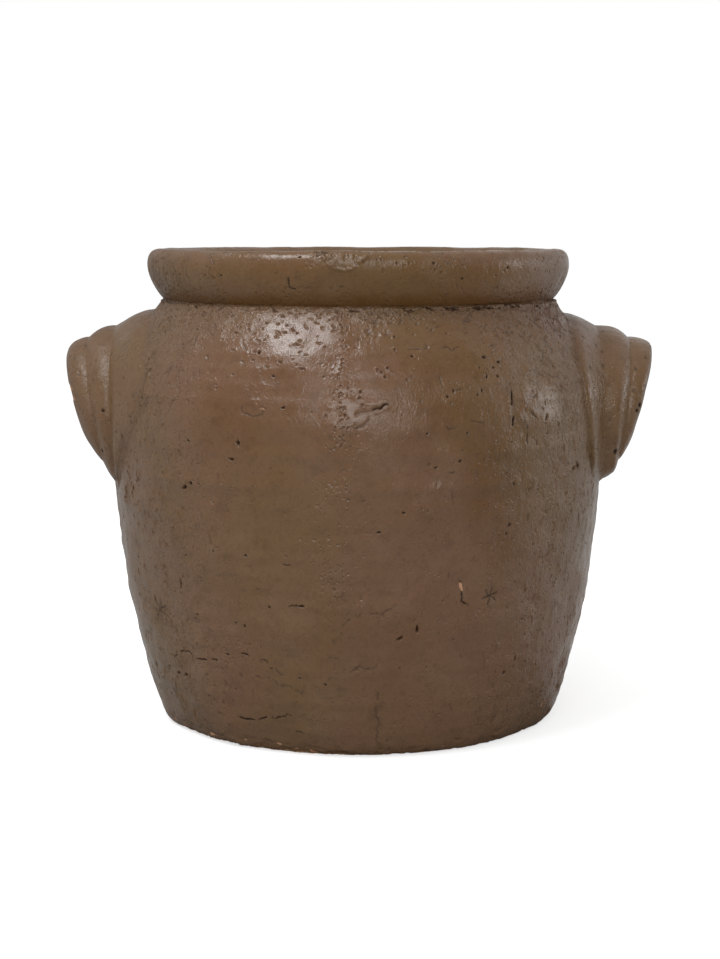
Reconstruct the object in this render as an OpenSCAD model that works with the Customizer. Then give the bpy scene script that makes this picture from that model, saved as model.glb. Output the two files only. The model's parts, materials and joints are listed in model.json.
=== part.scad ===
// Two-lug glazed terracotta pot, built from clay pieces: two press-moulded wall
// halves, a base slab, a rolled rim coil, two ribbed hood lugs and the coils that
// were worked into the inside corners. Frame: origin at the centre of the foot's
// underside, +Z up, lugs on -X and +X, the front seam faces -Y.

/* [Overall] */
// Height from the foot to the crest of the rim
pot_h = 280; // [240:1:320]
// Thickness of the clay wall
wall_t = 12; // [8:0.5:16]

/* [Body profile] */
// Radius where the foot corner meets the wall
foot_r = 122; // [110:0.5:128]
// Height of the rounded foot corner
foot_corner = 9; // [4:0.5:16]
// Lean of the lower wall outwards, degrees from vertical
foot_lean = 22.4; // [10:0.1:30]
// Radius at the belly
belly_r = 147.5; // [135:0.5:160]
// Height of the belly
belly_z = 177; // [150:1:190]
// Radius at the neck
neck_r = 116.1; // [110:0.5:120]
// Height of the neck
neck_z = 250.6; // [240:0.5:256]
// Slope of the shoulder where it reaches the neck, degrees from horizontal
neck_slope = 48.4; // [35:0.1:65]

/* [Rim] */
// Largest outer radius of the rolled rim
rim_r = 125.6; // [120:0.5:132]
// Height of the rim's largest radius
rim_z = 270.9; // [264:0.5:274]
// Radius of the rim's crest
rim_crest_r = 118.2; // [112:0.5:120]
// Radius of the mouth inside the rim
mouth_r = 106; // [100:0.5:108]

/* [Base] */
// Thickness of the base slab
slab_t = 14; // [10:0.5:20]
// Radius of the drain hole through the slab
drain_r = 10; // [6:0.5:14]
// Height of the coil worked into the inside corner
corner_coil = 12; // [8:1:16]

/* [Seams] */
// Turn of the seam plane away from the middle of the front, degrees
seam_turn = 4; // [0:1:12]
// Half the angle that a seam coil covers, degrees
seam_coil_half = 4.5; // [3:0.5:8]
// Thickness of a seam coil on the inside of the wall
seam_coil_t = 3; // [2:0.5:5]

/* [Lugs] */
// Height of the centre of the lug arch
lug_z = 181.5; // [176:0.5:186]
// Outer radius of the rib at the wall
rib3_r = 59; // [56:0.5:61]
// Outer radius of the middle rib
rib2_r = 51.5; // [48:0.5:54]
// Outer radius of the rib at the lip
rib1_r = 44.6; // [42:0.5:46]
// Radius of the finger hollow under the arch
hollow_r = 31; // [28:0.5:34]
// Distance from the axis to the valley between the wall rib and the middle rib
valley32_x = 144; // [141:0.5:147]
// Distance from the axis to the valley between the middle rib and the lip rib
valley21_x = 162.5; // [158:0.5:164]
// Farthest reach of the lip from the axis
lip_x = 176.5; // [173:0.5:180]
// Lean of the lug's mouth, degrees from vertical
mouth_lean = 16; // [10:0.5:19]
// Depth of the valleys between the ribs
valley_d = 2.4; // [1:0.2:4]
// Distance from the axis to the lip's lowest corner, where a foot of the arch begins
foot_x = 159; // [156:0.5:161]
// Height of that corner
foot_z = 166; // [162:0.5:170]
// Slope of the diagonal foot that runs from that corner down to the wall, degrees
foot_slope = 50; // [44:1:56]

/* [Hidden] */
glaze = [0.42, 0.33, 0.25];
bare_clay = [0.62, 0.40, 0.28];
big = 400;
rib_n = 10;
seg_low = 14;
seg_high = 14;
corner_n = 5;

// A cubic Bezier point, and a run of n + 1 points that leaves out the first
function bez(a, b, c, d, t) =
    pow(1 - t, 3) * a + 3 * pow(1 - t, 2) * t * b + 3 * (1 - t) * t * t * c + pow(t, 3) * d;
function run(a, b, c, d, n) = [for (i = [1:n]) bez(a, b, c, d, i / n)];

// Outside of the wall, from the edge of the foot up to the neck
lean = [sin(foot_lean), cos(foot_lean)];
foot_in = [foot_r - foot_corner, 0];
foot_up = [foot_r, foot_corner];
belly = [belly_r, belly_z];
neck = [neck_r, neck_z];
outer_wall = concat(
    [foot_in],
    run(foot_in, foot_in + [foot_corner * 0.55, 0], foot_up - lean * foot_corner * 0.5, foot_up, corner_n),
    run(foot_up, foot_up + lean * 47, belly - [0, 39], belly, seg_low),
    run(belly, belly + [0, 37.6], neck + 11 * [cos(neck_slope), -sin(neck_slope)], neck, seg_high));

// Inside of the wall, from the slab up to the mouth
in_low = [foot_r - wall_t - 1, slab_t];
in_coil = [foot_r - wall_t + 4.6, slab_t + corner_coil];
in_belly = [belly_r - wall_t, belly_z];
in_neck = [neck_r - wall_t, neck_z];
inner_mid = run(in_coil, in_coil + lean * 40, in_belly - [0, 36], in_belly, seg_low);
inner_top = run(in_belly, in_belly + [0, 34], in_neck + [9, -11], in_neck, seg_high);
inner_wall = concat([[in_low[0], 0], in_low, in_coil], inner_mid, inner_top);

function reversed(p) = [for (i = [len(p) - 1:-1:0]) p[i]];

// The half plane on one side of the seam, as a big block
module seam_side(s) {
    rotate([0, 0, -seam_turn])
        translate([s > 0 ? 0 : -big, -big / 2, -10]) cube([big, big, big]);
}

module wall_ring() {
    rotate_extrude($fn = 180) polygon(concat(outer_wall, reversed(inner_wall)));
}

module left_wall_half() {
    color(glaze) intersection() { wall_ring(); seam_side(-1); }
}

module right_wall_half() {
    color(glaze) intersection() { wall_ring(); seam_side(1); }
}

module base_slab() {
    color(bare_clay) difference() {
        cylinder(h = slab_t, r = in_low[0], $fn = 180);
        translate([0, 0, -1]) cylinder(h = slab_t + 2, r = drain_r, $fn = 64);
    }
}

// The rolled rim: a fat bead that overhangs the neck outside and stands in a
// little less than the wall inside
rim_crest = [rim_crest_r, pot_h];
rim_out = [rim_r, rim_z];
rim_in = [mouth_r - 1.2, neck_z + 11];
module rim_coil() {
    color(glaze) rotate_extrude($fn = 180) polygon(concat(
        [neck],
        run(neck, neck + [4, 3.4], rim_out - [0, 7.1], rim_out, 7),
        run(rim_out, rim_out + [0, 6.3], rim_crest + [5.2, 0], rim_crest, 7),
        run(rim_crest, rim_crest - [7.4, 0], rim_in + [0, 12], rim_in, 7),
        [in_neck]));
}

// A strip of clay smoothed over the seam on the inside of the wall
module seam_coil(turn) {
    strip = concat([in_coil], inner_mid, [for (i = [0:seg_high - 4]) inner_top[i]]);
    inward = [for (i = [0:len(strip) - 1])
        strip[i] - [seam_coil_t * min(1, i / 2, (len(strip) - 1 - i) / 2), 0]];
    rotate([0, 0, turn - seam_turn - seam_coil_half])
        rotate_extrude(angle = 2 * seam_coil_half, $fn = 180)
            polygon(concat(strip, [for (i = [len(strip) - 2:-1:1]) inward[i]]));
}

module front_seam_coil() { color(bare_clay) seam_coil(-90); }
module back_seam_coil() { color(bare_clay) seam_coil(90); }

// The coil worked into the corner between the slab and the wall
module base_corner_coil() {
    color(bare_clay) rotate_extrude($fn = 180) polygon(concat(
        [in_low, in_coil],
        run(in_coil, in_coil - [3, 7], in_low - [corner_coil - 5, -1.5], in_low - [corner_coil, 0], 6)));
}

// One lug on +X: three finger ribs stepping down from the wall to the lip,
// arched over a hollow that is open outwards and downwards
function rib(x0, x1, r0, r1) =
    [for (i = [0:rib_n]) let (t = i / rib_n)
        [r0 + (r1 - r0) * t + valley_d * pow(max(0, sin(180 * t)), 0.7), x0 + (x1 - x0) * t]];
lip_round = 6;
module lug_ring() {
    rotate([0, 90, 0]) rotate_extrude($fn = 144) polygon(concat(
        [[hollow_r, 90]],
        [[rib3_r + 2, 90]],
        rib(118, valley32_x, rib3_r + 1.5, rib3_r - 5.5),
        rib(valley32_x, valley21_x, rib3_r - 5.5, rib2_r - 5.2),
        rib(valley21_x, lip_x - lip_round, rib2_r - 5.2, rib1_r - 2),
        [for (a = [15:15:75]) [rib1_r - 2 - lip_round + lip_round * cos(a), lip_x - lip_round + lip_round * sin(a)]],
        [[rib1_r - 2 - lip_round, lip_x], [hollow_r + 3, lip_x], [hollow_r, lip_x - 4]]));
}

module lug() {
    difference() {
        translate([0, 0, lug_z]) lug_ring();
        // the pot's own wall
        rotate_extrude($fn = 180) polygon(concat(outer_wall, [[0, neck_z], [0, 0]]));
        // everything towards the axis
        translate([-big, -big / 2, 0]) cube([big + 100, big, big]);
        // the leaning mouth
        translate([lip_x - 1.2, 0, lug_z + 36]) rotate([0, mouth_lean, 0])
            translate([0, -big / 2, -big]) cube([big, big, big + 2]);
        // the finger hollow runs straight down between the feet
        translate([100, -hollow_r, lug_z - big]) cube([big, 2 * hollow_r, big]);
        // the diagonal trim of the two feet of the arch
        translate([foot_x, 0, foot_z]) rotate([0, -foot_slope, 0])
            translate([-big / 2, -big / 2, -big]) cube([big, big, big]);
    }
}

module right_lug() { color(glaze) lug(); }
module left_lug() { color(glaze) mirror([1, 0, 0]) lug(); }

base_slab();
left_wall_half();
right_wall_half();
rim_coil();
left_lug();
right_lug();
front_seam_coil();
back_seam_coil();
base_corner_coil();
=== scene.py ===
import json
import math
import bpy
import numpy as np
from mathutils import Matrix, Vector, geometry


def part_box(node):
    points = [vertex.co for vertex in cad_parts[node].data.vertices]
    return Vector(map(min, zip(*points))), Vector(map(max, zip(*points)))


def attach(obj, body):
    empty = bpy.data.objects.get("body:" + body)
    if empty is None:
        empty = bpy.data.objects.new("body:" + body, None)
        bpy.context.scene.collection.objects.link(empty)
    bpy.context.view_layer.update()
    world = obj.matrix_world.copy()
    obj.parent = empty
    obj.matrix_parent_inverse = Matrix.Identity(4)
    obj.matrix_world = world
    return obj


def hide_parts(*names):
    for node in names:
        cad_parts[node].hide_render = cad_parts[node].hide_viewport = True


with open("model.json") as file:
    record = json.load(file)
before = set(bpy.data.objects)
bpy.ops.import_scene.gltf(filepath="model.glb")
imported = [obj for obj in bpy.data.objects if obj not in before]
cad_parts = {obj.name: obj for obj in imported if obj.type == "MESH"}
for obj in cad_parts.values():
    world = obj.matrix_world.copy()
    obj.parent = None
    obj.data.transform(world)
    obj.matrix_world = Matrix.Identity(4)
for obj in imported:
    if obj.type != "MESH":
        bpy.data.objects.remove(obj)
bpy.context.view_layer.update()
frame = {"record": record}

MM = 0.001
TAU = 2.0 * math.pi


# ---------------------------------------------------------------- dimensions, read from the frame (mm)
def box_mm(node):
    lo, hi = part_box(node)
    return np.array(lo) * 1000.0, np.array(hi) * 1000.0


w_lo, w_hi = box_mm("left_wall_half")
r_lo, r_hi = box_mm("rim_coil")
s_lo, s_hi = box_mm("base_slab")
g_lo, g_hi = box_mm("right_lug")
POT_H = r_hi[2]
NECK_Z = w_hi[2]
BELLY_R = max(abs(w_lo[1]), w_hi[1])
RIM_R = r_hi[0]
SLAB_T = s_hi[2]
SLAB_R = s_hi[0]
LIP_X = g_hi[0]
DRAIN_R = next(m for m in frame["record"]["mounts"] if m["name"] == "drain_hole")["dims"]["r_mm"]
WALL_T = 12.0
SEAM = math.radians(-94.0)
LUG_Z = 181.5


# ---------------------------------------------------------------- the pot's section
def A(*v):
    return np.array(v, float)


def bez(p0, p1, p2, p3, n):
    t = np.linspace(0, 1, n + 1)[:, None]
    return (1 - t) ** 3 * p0 + 3 * (1 - t) ** 2 * t * p1 + 3 * (1 - t) * t * t * p2 + t ** 3 * p3


LEAN = A(math.sin(math.radians(22.4)), math.cos(math.radians(22.4)))
FOOT_IN, FOOT_UP = A(113.0, 0), A(122.0, 9.0)
BELLY, NECK = A(BELLY_R, 177.0), A(116.1, NECK_Z)
SLOPE = math.radians(48.4)
RIM_OUT, CREST = A(RIM_R, 270.9), A(118.2, POT_H)
RIM_IN, IN_NECK = A(104.8, 261.6), A(NECK[0] - WALL_T, NECK_Z)
IN_LOW, IN_COIL = A(SLAB_R, SLAB_T), A(114.6, SLAB_T + 12.0)
IN_BELLY = A(BELLY_R - WALL_T, 177.0)

seg_foot = bez(FOOT_IN, FOOT_IN + A(4.95, 0), FOOT_UP - LEAN * 4.5, FOOT_UP, 60)
seg_low = bez(FOOT_UP, FOOT_UP + LEAN * 47, BELLY - A(0, 39), BELLY, 400)
seg_high = bez(BELLY, BELLY + A(0, 37.6), NECK + 11 * A(math.cos(SLOPE), -math.sin(SLOPE)), NECK, 260)
seg_rim1 = bez(NECK, NECK + A(4, 3.4), RIM_OUT - A(0, 7.1), RIM_OUT, 100)
seg_rim2 = bez(RIM_OUT, RIM_OUT + A(0, 6.3), CREST + A(5.2, 0), CREST, 60)
seg_rim3 = bez(CREST, CREST - A(7.4, 0), RIM_IN + A(0, 12), RIM_IN, 100)
seg_rim4 = np.linspace(RIM_IN, IN_NECK, 41)
seg_in1 = bez(IN_NECK, IN_NECK + A(9, -11), IN_BELLY + A(0, 34), IN_BELLY, 220)
seg_in2 = bez(IN_BELLY, IN_BELLY - A(0, 36), IN_COIL + LEAN * 40, IN_COIL, 320)

# the outside, foot to mouth: arc length s, radius, height and a softened normal
outer = np.vstack([seg_foot, seg_low[1:], seg_high[1:], seg_rim1[1:], seg_rim2[1:], seg_rim3[1:], seg_rim4[1:]])
outer_s = np.concatenate([[0], np.cumsum(np.hypot(*np.diff(outer, axis=0).T))])
S_LEN = outer_s[-1]
s_dense = np.linspace(0, S_LEN, 6000)
o_r, o_z = np.interp(s_dense, outer_s, outer[:, 0]), np.interp(s_dense, outer_s, outer[:, 1])
tr, tz = np.gradient(o_r, s_dense), np.gradient(o_z, s_dense)
ker = np.hanning(61)
ker /= ker.sum()
pad = lambda a: np.convolve(np.pad(a, 30, mode="edge"), ker, mode="valid")
tr, tz = pad(tr), pad(tz)
ln = np.hypot(tr, tz)
o_nr, o_nz = tz / ln, -tr / ln
cuts = np.cumsum([len(seg_foot) - 1] + [len(q) - 1 for q in (seg_low, seg_high, seg_rim1, seg_rim2, seg_rim3, seg_rim4)])
S_FOOT, S_BELLY, S_NECK, S_RIMOUT, S_CREST, S_RIMIN, S_END = (float(outer_s[c]) for c in cuts)
wall_sel = s_dense <= S_NECK


def s_at_z(z):
    """Arc length on the outer wall at height z."""
    return np.interp(z, o_z[wall_sel], s_dense[wall_sel])


# ---------------------------------------------------------------- relief of the outside, as a height field over (angle, s)
W, DS = 3072, 0.30
ROWS = int(S_LEN / DS) + 2
row_s = np.arange(ROWS) * DS
row_r = np.interp(row_s, s_dense, o_r)
row_z = np.interp(row_s, s_dense, o_z)
DTH = TAU / W
th_cols = -math.pi + (np.arange(W) + 0.5) * DTH
RM = 135.0
rng = np.random.default_rng(768)


def band(lo, hi, seed, stretch=1.0):
    """Noise with wavelengths from lo to hi mm, periodic round the pot, unit spread. stretch > 1 draws it out along s."""
    g = np.random.default_rng(seed).standard_normal((ROWS, W)).astype(np.float32)
    fx = np.fft.rfftfreq(W, RM * DTH)[None, :]
    fy = np.fft.fftfreq(ROWS, DS)[:, None] * stretch
    f = np.sqrt(fx * fx + fy * fy) + 1e-9
    k = np.exp(-((f * lo) ** 4) * 0.6) * (1 - np.exp(-((f * hi) ** 4) * 0.6))
    n = np.fft.irfft2(np.fft.rfft2(g) * k, s=(ROWS, W))
    return (n / n.std()).astype(np.float32)


def sstep(x, lo, hi):
    t = np.clip((x - lo) / (hi - lo), 0, 1)
    return t * t * (3 - 2 * t)


def gauss(x, c, w):
    return np.exp(-(((x - c) / w) ** 2))


def dang(a, b):
    """Signed difference of angles in degrees."""
    return (a - b + 180.0) % 360.0 - 180.0


TH = np.degrees(th_cols)[None, :]
SS = row_s[:, None]
ZZ = row_z[:, None]
S_BOT = float(S_FOOT)

dent = np.zeros((ROWS, W), np.float32)     # depth of pits and cracks, mm
ridge = np.zeros((ROWS, W), np.float32)    # height of runs and lumps, mm
want = np.full((ROWS, W), 2.5, np.float32) # wanted edge length of the mesh, mm
bare = np.zeros((ROWS, W), np.float32)     # 1 where the glaze is chipped off
hollow_dirt_and_shade = np.zeros((ROWS, W), np.float32)    # 1 where a pit, crack or crease is coloured dark: partly dark glaze and dirt, partly painted shade in the hollow
tint = np.zeros((ROWS, W), np.float32)     # 1 where the glaze ran thick and turned a deeper amber brown


def window(th, s, reach):
    j0, j1 = max(0, int((s - reach) / DS)), min(ROWS - 1, int((s + reach) / DS) + 1)
    if j1 <= j0:
        return None
    r = float(np.interp(s, row_s, row_r))
    i = (math.radians(th) + math.pi) / DTH - 0.5
    n = int(reach / (r * DTH)) + 1
    cols = np.arange(int(round(i)) - n, int(round(i)) + n + 1)
    x = (cols - i) * DTH * r
    y = np.arange(j0, j1 + 1) * DS - s
    return slice(j0, j1 + 1), cols % W, x[None, :], y[:, None]


def put(layer, rows, cols, v, how=np.maximum):
    layer[rows, cols] = how(layer[rows, cols], v)


def coarser(th):
    """Mesh size factor: finest towards the front, coarser behind."""
    return 1.28 if abs(dang(th, -90.0)) < 82 else 1.75


def bead(th, s, a, b, h):
    """A small raised drop of glaze."""
    rows, cols, x, y = window(th, s, 2.0 * max(a, b) + 0.6)
    q = np.sqrt((x / a) ** 2 + (y / b) ** 2)
    put(ridge, rows, cols, h * np.exp(-(q ** 2.4)))
    put(want, rows, cols, np.where(q < 1.6, 0.52 * coarser(th), 9.0), np.minimum)


def pit(th, s, a, b=None, tilt=0.0, depth=0.5, lip=0.12, dark=0.8, fine=None):
    """An oval pit: half sizes a (round the pot) and b (up it) in mm, tilt in degrees, with a slightly raised lip."""
    b = a if b is None else b
    win = window(th, s, 2.2 * max(a, b) + 0.8)
    if win is None:
        return
    rows, cols, x, y = win
    c, t = math.cos(math.radians(tilt)), math.sin(math.radians(tilt))
    u, v = (x * c + y * t) / a, (-x * t + y * c) / b
    phi, k1, k2 = np.arctan2(v, u), rng.uniform(0, TAU), rng.uniform(0, TAU)
    q = np.sqrt(u * u + v * v) * (1 + 0.16 * np.sin(2 * phi + k1) + 0.13 * np.sin(3 * phi + k2))
    shape = np.exp(-(q ** 3.2))
    put(dent, rows, cols, 1.25 * depth * shape)
    if lip:
        put(ridge, rows, cols, 1.9 * lip * depth * np.exp(-(((q - 1.35) / 0.32) ** 2)))
    # dark inside the pit: partly dirt in the hollow, partly painted shade
    put(hollow_dirt_and_shade, rows, cols, dark * (0.45 if dark < 0.95 else 0.95) * np.exp(-((q / 0.85) ** 4)))
    put(want, rows, cols, np.where(q < 1.8, (fine or max(0.5, 0.55 * min(a, b))) * coarser(th), 9.0), np.minimum)


def stroke(points, half, height, layer, jitter=0.3, seed=0, dark=0.0, fine=0.7, taper=True, gaps=0.0, bare_w=0.0):
    """A crack or a raised run along points [(angle in degrees, s)], half its half-width in mm."""
    g = np.random.default_rng(seed)
    pts = np.array(points, float)
    r0 = float(np.interp(pts[:, 1].mean(), row_s, row_r))
    xy = np.stack([np.radians(pts[:, 0]) * r0, pts[:, 1]], 1)
    d = np.concatenate([[0], np.cumsum(np.hypot(*np.diff(xy, axis=0).T))])
    n = max(4, int(d[-1] / (half * 0.7)))
    t = np.linspace(0, d[-1], n)
    x, y = np.interp(t, d, xy[:, 0]), np.interp(t, d, xy[:, 1])
    wob = np.convolve(g.standard_normal(n + 8), np.hanning(9) / 4.0, mode="valid")[:n] * jitter
    wob2 = np.convolve(g.standard_normal(n + 8), np.hanning(9) / 4.0, mode="valid")[:n] * jitter
    far = np.hanning(23) / math.sqrt((np.hanning(23) ** 2).sum()) * jitter * 1.3
    x = x + wob + np.convolve(g.standard_normal(n + 22), far, mode="valid")[:n]
    y = y + wob2 + np.convolve(g.standard_normal(n + 22), far, mode="valid")[:n]
    amp = 0.55 + 0.45 * np.abs(np.convolve(g.standard_normal(n + 4), np.hanning(7)[1:-1] / 2, mode="valid")[:n])
    if gaps:
        amp *= (np.convolve(g.random(n + 8), np.ones(9) / 9, mode="valid")[:n] > 0.5 - (0.5 - gaps) * 0.25) * 1.0
    for k in range(n):
        e = min(1.0, 4 * k / n + 0.25, 4 * (n - 1 - k) / n + 0.25) if taper else 1.0
        h = half * (0.6 + 0.4 * amp[k]) * e
        win = window(math.degrees(x[k] / r0), y[k], 2.2 * h + 0.8)
        if win is None or amp[k] <= 0:
            continue
        rows, cols, xx, yy = win
        q = np.sqrt(xx * xx + yy * yy) / h
        put(layer, rows, cols, height * min(1.3, amp[k]) * e * np.exp(-(q ** 2.4)))
        if dark:
            # dark along the crack: partly dirt, partly painted shade
            put(hollow_dirt_and_shade, rows, cols, dark * np.exp(-((q / 0.9) ** 4)))
        if bare_w:
            put(bare, rows, cols, bare_w * np.exp(-((q / 1.3) ** 4)))
        put(want, rows, cols, np.where(q < 1.8, fine * coarser(math.degrees(x[k] / r0)), 9.0), np.minimum)


def sz(z):
    return float(s_at_z(z))


# how hard the surface is pitted, by place: the neck and shoulder, the seam, the sides by the lugs and the right flank are rough,
# the middle of the front is smooth
patchy = sstep(band(26, 90, 11), -0.6, 1.4)
near_neck = gauss(SS, S_NECK - 6, 16.0)
seam_front = np.exp(-((dang(TH, -94.0 - (ZZ < 120) * (120 - ZZ) * 0.018) / 2.6) ** 2))
seam_back = np.exp(-((dang(TH, 86.0) / 2.6) ** 2))
side_r = gauss(dang(TH, -36.0), 0, 22.0)
side_l = gauss(dang(TH, -141.0), 0, 17.0)
side_b = gauss(dang(TH, 62.0), 0, 26.0) + gauss(dang(TH, 140.0), 0, 30.0)
lug_sides = np.exp(-((np.abs(dang(TH, 0.0)) - 27) / 12.0) ** 2) + np.exp(-((np.abs(dang(TH, 180.0)) - 27) / 12.0) ** 2)
on_wall = (SS < S_NECK).astype(np.float32)
rough = (0.10 + 0.22 * patchy + 0.75 * near_neck * on_wall + 0.75 * side_r * on_wall + 0.60 * side_l * on_wall
         + 0.45 * side_b * on_wall + 0.25 * lug_sides * on_wall * sstep(ZZ, 120, 200))
rough = rough * (1 - 0.55 * gauss(dang(TH, -112.0), 0, 11.0) * gauss(ZZ, 130.0, 70.0))
rough = rough * (1 - 0.62 * gauss(dang(TH, -104.0), 0, 17.0) * sstep(ZZ, 150, 215))
rough = rough * (1 - 0.80 * np.exp(-((dang(TH, -95.0) / 32.0) ** 6)) * sstep(ZZ, 205, 225) * (1 - 0.9 * sstep(ZZ, 240, 246)))
rough = np.clip(rough, 0.04, 1.0)


def scatter(n, seed, density, s0, s1, th0=-180.0, th1=180.0):
    """n places drawn by density, a (ROWS, W) map."""
    g = np.random.default_rng(seed)
    m = 0
    out = []
    while m < n:
        th = g.uniform(th0, th1, n * 4)
        s = g.uniform(s0, s1, n * 4)
        i = ((np.radians(th) + math.pi) / DTH - 0.5).astype(int) % W
        j = np.clip((s / DS).astype(int), 0, ROWS - 1)
        keep = g.random(n * 4) < density[j, i]
        out.append(np.stack([th[keep], s[keep]], 1))
        m += int(keep.sum())
    return np.vstack(out)[:n]


# small round pits over the whole outside, dense where it is rough
for th, s in scatter(1500, 21, np.clip(rough ** 1.3, 0, 1), 14.0, S_NECK - 1.5):
    a = rng.uniform(0.4, 0.8)
    pit(th, s, a, a * rng.uniform(0.8, 1.8), rng.uniform(-35, 35), rng.uniform(0.22, 0.5), lip=0.2, dark=rng.uniform(0.1, 0.7))
# long shallow scars that run up and down the steep sides
for th, s in scatter(560, 22, np.clip(side_r + 0.8 * side_l + 0.6 * side_b, 0, 1) * on_wall * patchy ** 0.5, 20.0, S_NECK - 6):
    a = rng.uniform(0.5, 0.9)
    pit(th, s, a, a * rng.uniform(2.2, 4.5), rng.uniform(-22, 22), rng.uniform(0.18, 0.42), lip=0.35, dark=rng.uniform(0.0, 0.5), fine=0.75)
# the torn skin round the neck and over the shoulder above the lugs
for th, s in scatter(760, 23, np.clip(near_neck * on_wall * (0.35 + 0.65 * patchy + lug_sides + 0.4 * side_r), 0, 1), S_NECK - 40, S_NECK - 1):
    a = rng.uniform(0.42, 0.85)
    tilt = (90 - abs(dang(th, -90.0)) * 0.5) * (1 if dang(th, -90.0) < 0 else -1) * rng.uniform(0.5, 1.1)
    pit(th, s, a, a * rng.uniform(1.4, 3.4), tilt, rng.uniform(0.25, 0.6), lip=0.35, dark=rng.uniform(0.1, 0.9), fine=0.7)
# the two wall seams: a line of pits in a faint ridge
for th0, seed in ((-94.0, 31), (86.0, 32)):
    g = np.random.default_rng(seed)
    line = lambda z: th0 - max(0.0, 120 - z) * 0.016 + min(0.5, max(0, z - 120) * 0.009)
    drift = np.convolve(g.standard_normal(60), np.hanning(9) / 4.0, mode="valid")
    for k, z in enumerate(np.arange(178.0, 247.0, 1.75)):
        if g.random() < 0.22:
            continue
        a = g.uniform(0.4, 0.72)
        pit(line(z) + 0.45 * drift[k % 50] + g.normal(0, 0.2), sz(z + g.normal(0, 0.5)), a * g.uniform(0.8, 1.6), a * g.uniform(0.7, 1.2), g.uniform(-30, 30), g.uniform(0.3, 0.6), lip=0.34, dark=g.uniform(0.1, 0.7))
    for k in range(48):
        z = g.uniform(172, 246)
        a = g.uniform(0.4, 0.8)
        pit(line(z) + g.normal(0, 1.3), sz(z), a, a * g.uniform(0.7, 1.6), g.uniform(-40, 40), g.uniform(0.25, 0.5), lip=0.24, dark=g.uniform(0.1, 0.7))
    for k in range(120):
        z = g.uniform(4, 176)
        if g.random() > 0.15 + 0.7 * (0.5 + 0.5 * math.sin(z * 0.13 + 1.0)):
            continue
        a = g.uniform(0.35, 0.7)
        pit(line(z) + g.normal(0, 1.0), sz(z), a, a * g.uniform(0.8, 1.8), g.uniform(-40, 40), g.uniform(0.15, 0.4), lip=0.35, dark=g.uniform(0.1, 0.5), fine=0.6)
    for k in range(16):
        z, f = g.uniform(150, 212), g.uniform(0, TAU)
        t0 = line(z) + g.uniform(-3.2, 2.2)
        stroke([(t0, sz(z)), (t0 + 1.3 * math.cos(f), sz(z) + 3 * math.sin(f)), (t0 + 2.0 * math.cos(f + 0.8), sz(z) + 4.5 * math.sin(f + 0.8))],
               g.uniform(0.9, 1.5), g.uniform(0.18, 0.34), ridge, 0.4, 600 + k + seed, fine=0.9)
# pits in the highlight on the shoulder, left of the middle
for k, (th, z) in enumerate(((-115.8, 242.8), (-113.5, 241.3), (-110.4, 240.9), (-108.0, 240.5), (-108.0, 246.7), (-109.7, 245.1), (-114.1, 238.1), (-108.1, 236.8),
                             (-106.1, 237.9), (-104.9, 236.4), (-103.9, 232.3), (-104.5, 230.3), (-112.7, 232.5), (-109.9, 234.2), (-99.7, 244.3), (-97.1, 243.3),
                             (-100.3, 241.7), (-102.6, 239.1), (-99.6, 235.0), (-99.0, 231.4), (-97.7, 229.4), (-103.5, 226.6), (-101.8, 225.2), (-114.6, 226.1),
                             (-115.7, 224.5), (-117.0, 220.7), (-114.6, 221.9), (-110.9, 222.7), (-107.8, 221.3), (-104.8, 222.5), (-103.8, 219.9), (-102.3, 217.9),
                             (-110.8, 218.5), (-112.3, 216.9), (-118.6, 231.0), (-120.4, 226.5), (-119.0, 214.0), (-121.5, 236.0), (-98.2, 221.0), (-97.4, 214.0))):
    pit(th, sz(z), rng.uniform(0.9, 1.7) if k % 3 else rng.uniform(0.6, 0.9), rng.uniform(0.48, 0.7), rng.uniform(-32, 8), rng.uniform(0.4, 0.7), lip=0.28,
        dark=rng.uniform(0.4, 0.94), fine=0.6)

# single marks
for th, z, a, b, tilt, depth in (
        (-80.5, 71.8, 1.6, 0.8, 35, 1.3), (-76.6, 76.4, 0.75, 2.0, 6, 1.3), (-115.9, 177.9, 1.1, 1.0, 0, 0.8), (-130.1, 151.3, 1.6, 1.0, 35, 1.4),
        (-128.3, 153.9, 0.8, 1.4, -20, 0.9), (-102.4, 89.8, 1.5, 0.7, 0, 0.9), (-80.3, 141.6, 0.9, 0.6, 0, 0.8), (-32.5, 159.3, 1.2, 2.0, 10, 1.2),
        (-34.5, 157.8, 0.8, 1.3, 0, 0.8), (-59.5, 223.0, 1.2, 1.0, 0, 1.2), (-60.0, 213.0, 0.6, 1.4, 5, 0.9), (-61.5, 217.5, 0.6, 0.6, 0, 0.8),
        (-52.0, 45.0, 0.7, 1.5, 0, 1.0), (-49.0, 52.5, 0.8, 1.6, 0, 0.8), (-138.0, 40.0, 1.3, 1.0, 20, 0.9), (-110.0, 88.0, 0.6, 1.0, 0, 0.6),
        (-122.5, 57.5, 1.4, 0.6, 0, 0.8), (-77.5, 224.5, 0.8, 0.7, 0, 0.8), (-69.0, 206.0, 0.7, 1.2, 20, 0.7), (-70.5, 203.0, 0.9, 0.7, 0, 0.7),
        (-66.5, 183.5, 0.7, 0.6, 0, 0.7), (-75.5, 184.0, 0.8, 0.6, 0, 0.6), (-73.5, 165.5, 1.0, 0.6, 0, 0.6), (-85.5, 131.0, 1.0, 0.7, 0, 0.8),
        (-40.5, 184.0, 0.7, 1.0, 0, 0.9), (-44.8, 189.0, 0.8, 1.8, -35, 0.7), (-113.4, 226.0, 0.9, 0.9, 0, 0.9), (-109.0, 214.0, 0.8, 0.8, 0, 0.7),
        (132.0, 150.0, 1.3, 0.9, 0, 1.0), (70.0, 96.0, 1.5, 0.8, 20, 1.2), (104.0, 60.0, 0.8, 1.8, 0, 1.1), (48.0, 190.0, 1.1, 1.1, 0, 0.9)):
    pit(th, sz(z), a, b, tilt, depth, lip=0.1, dark=1.0)

L_ = lambda pts: [(t, sz(z)) for t, z in pts]
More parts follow.
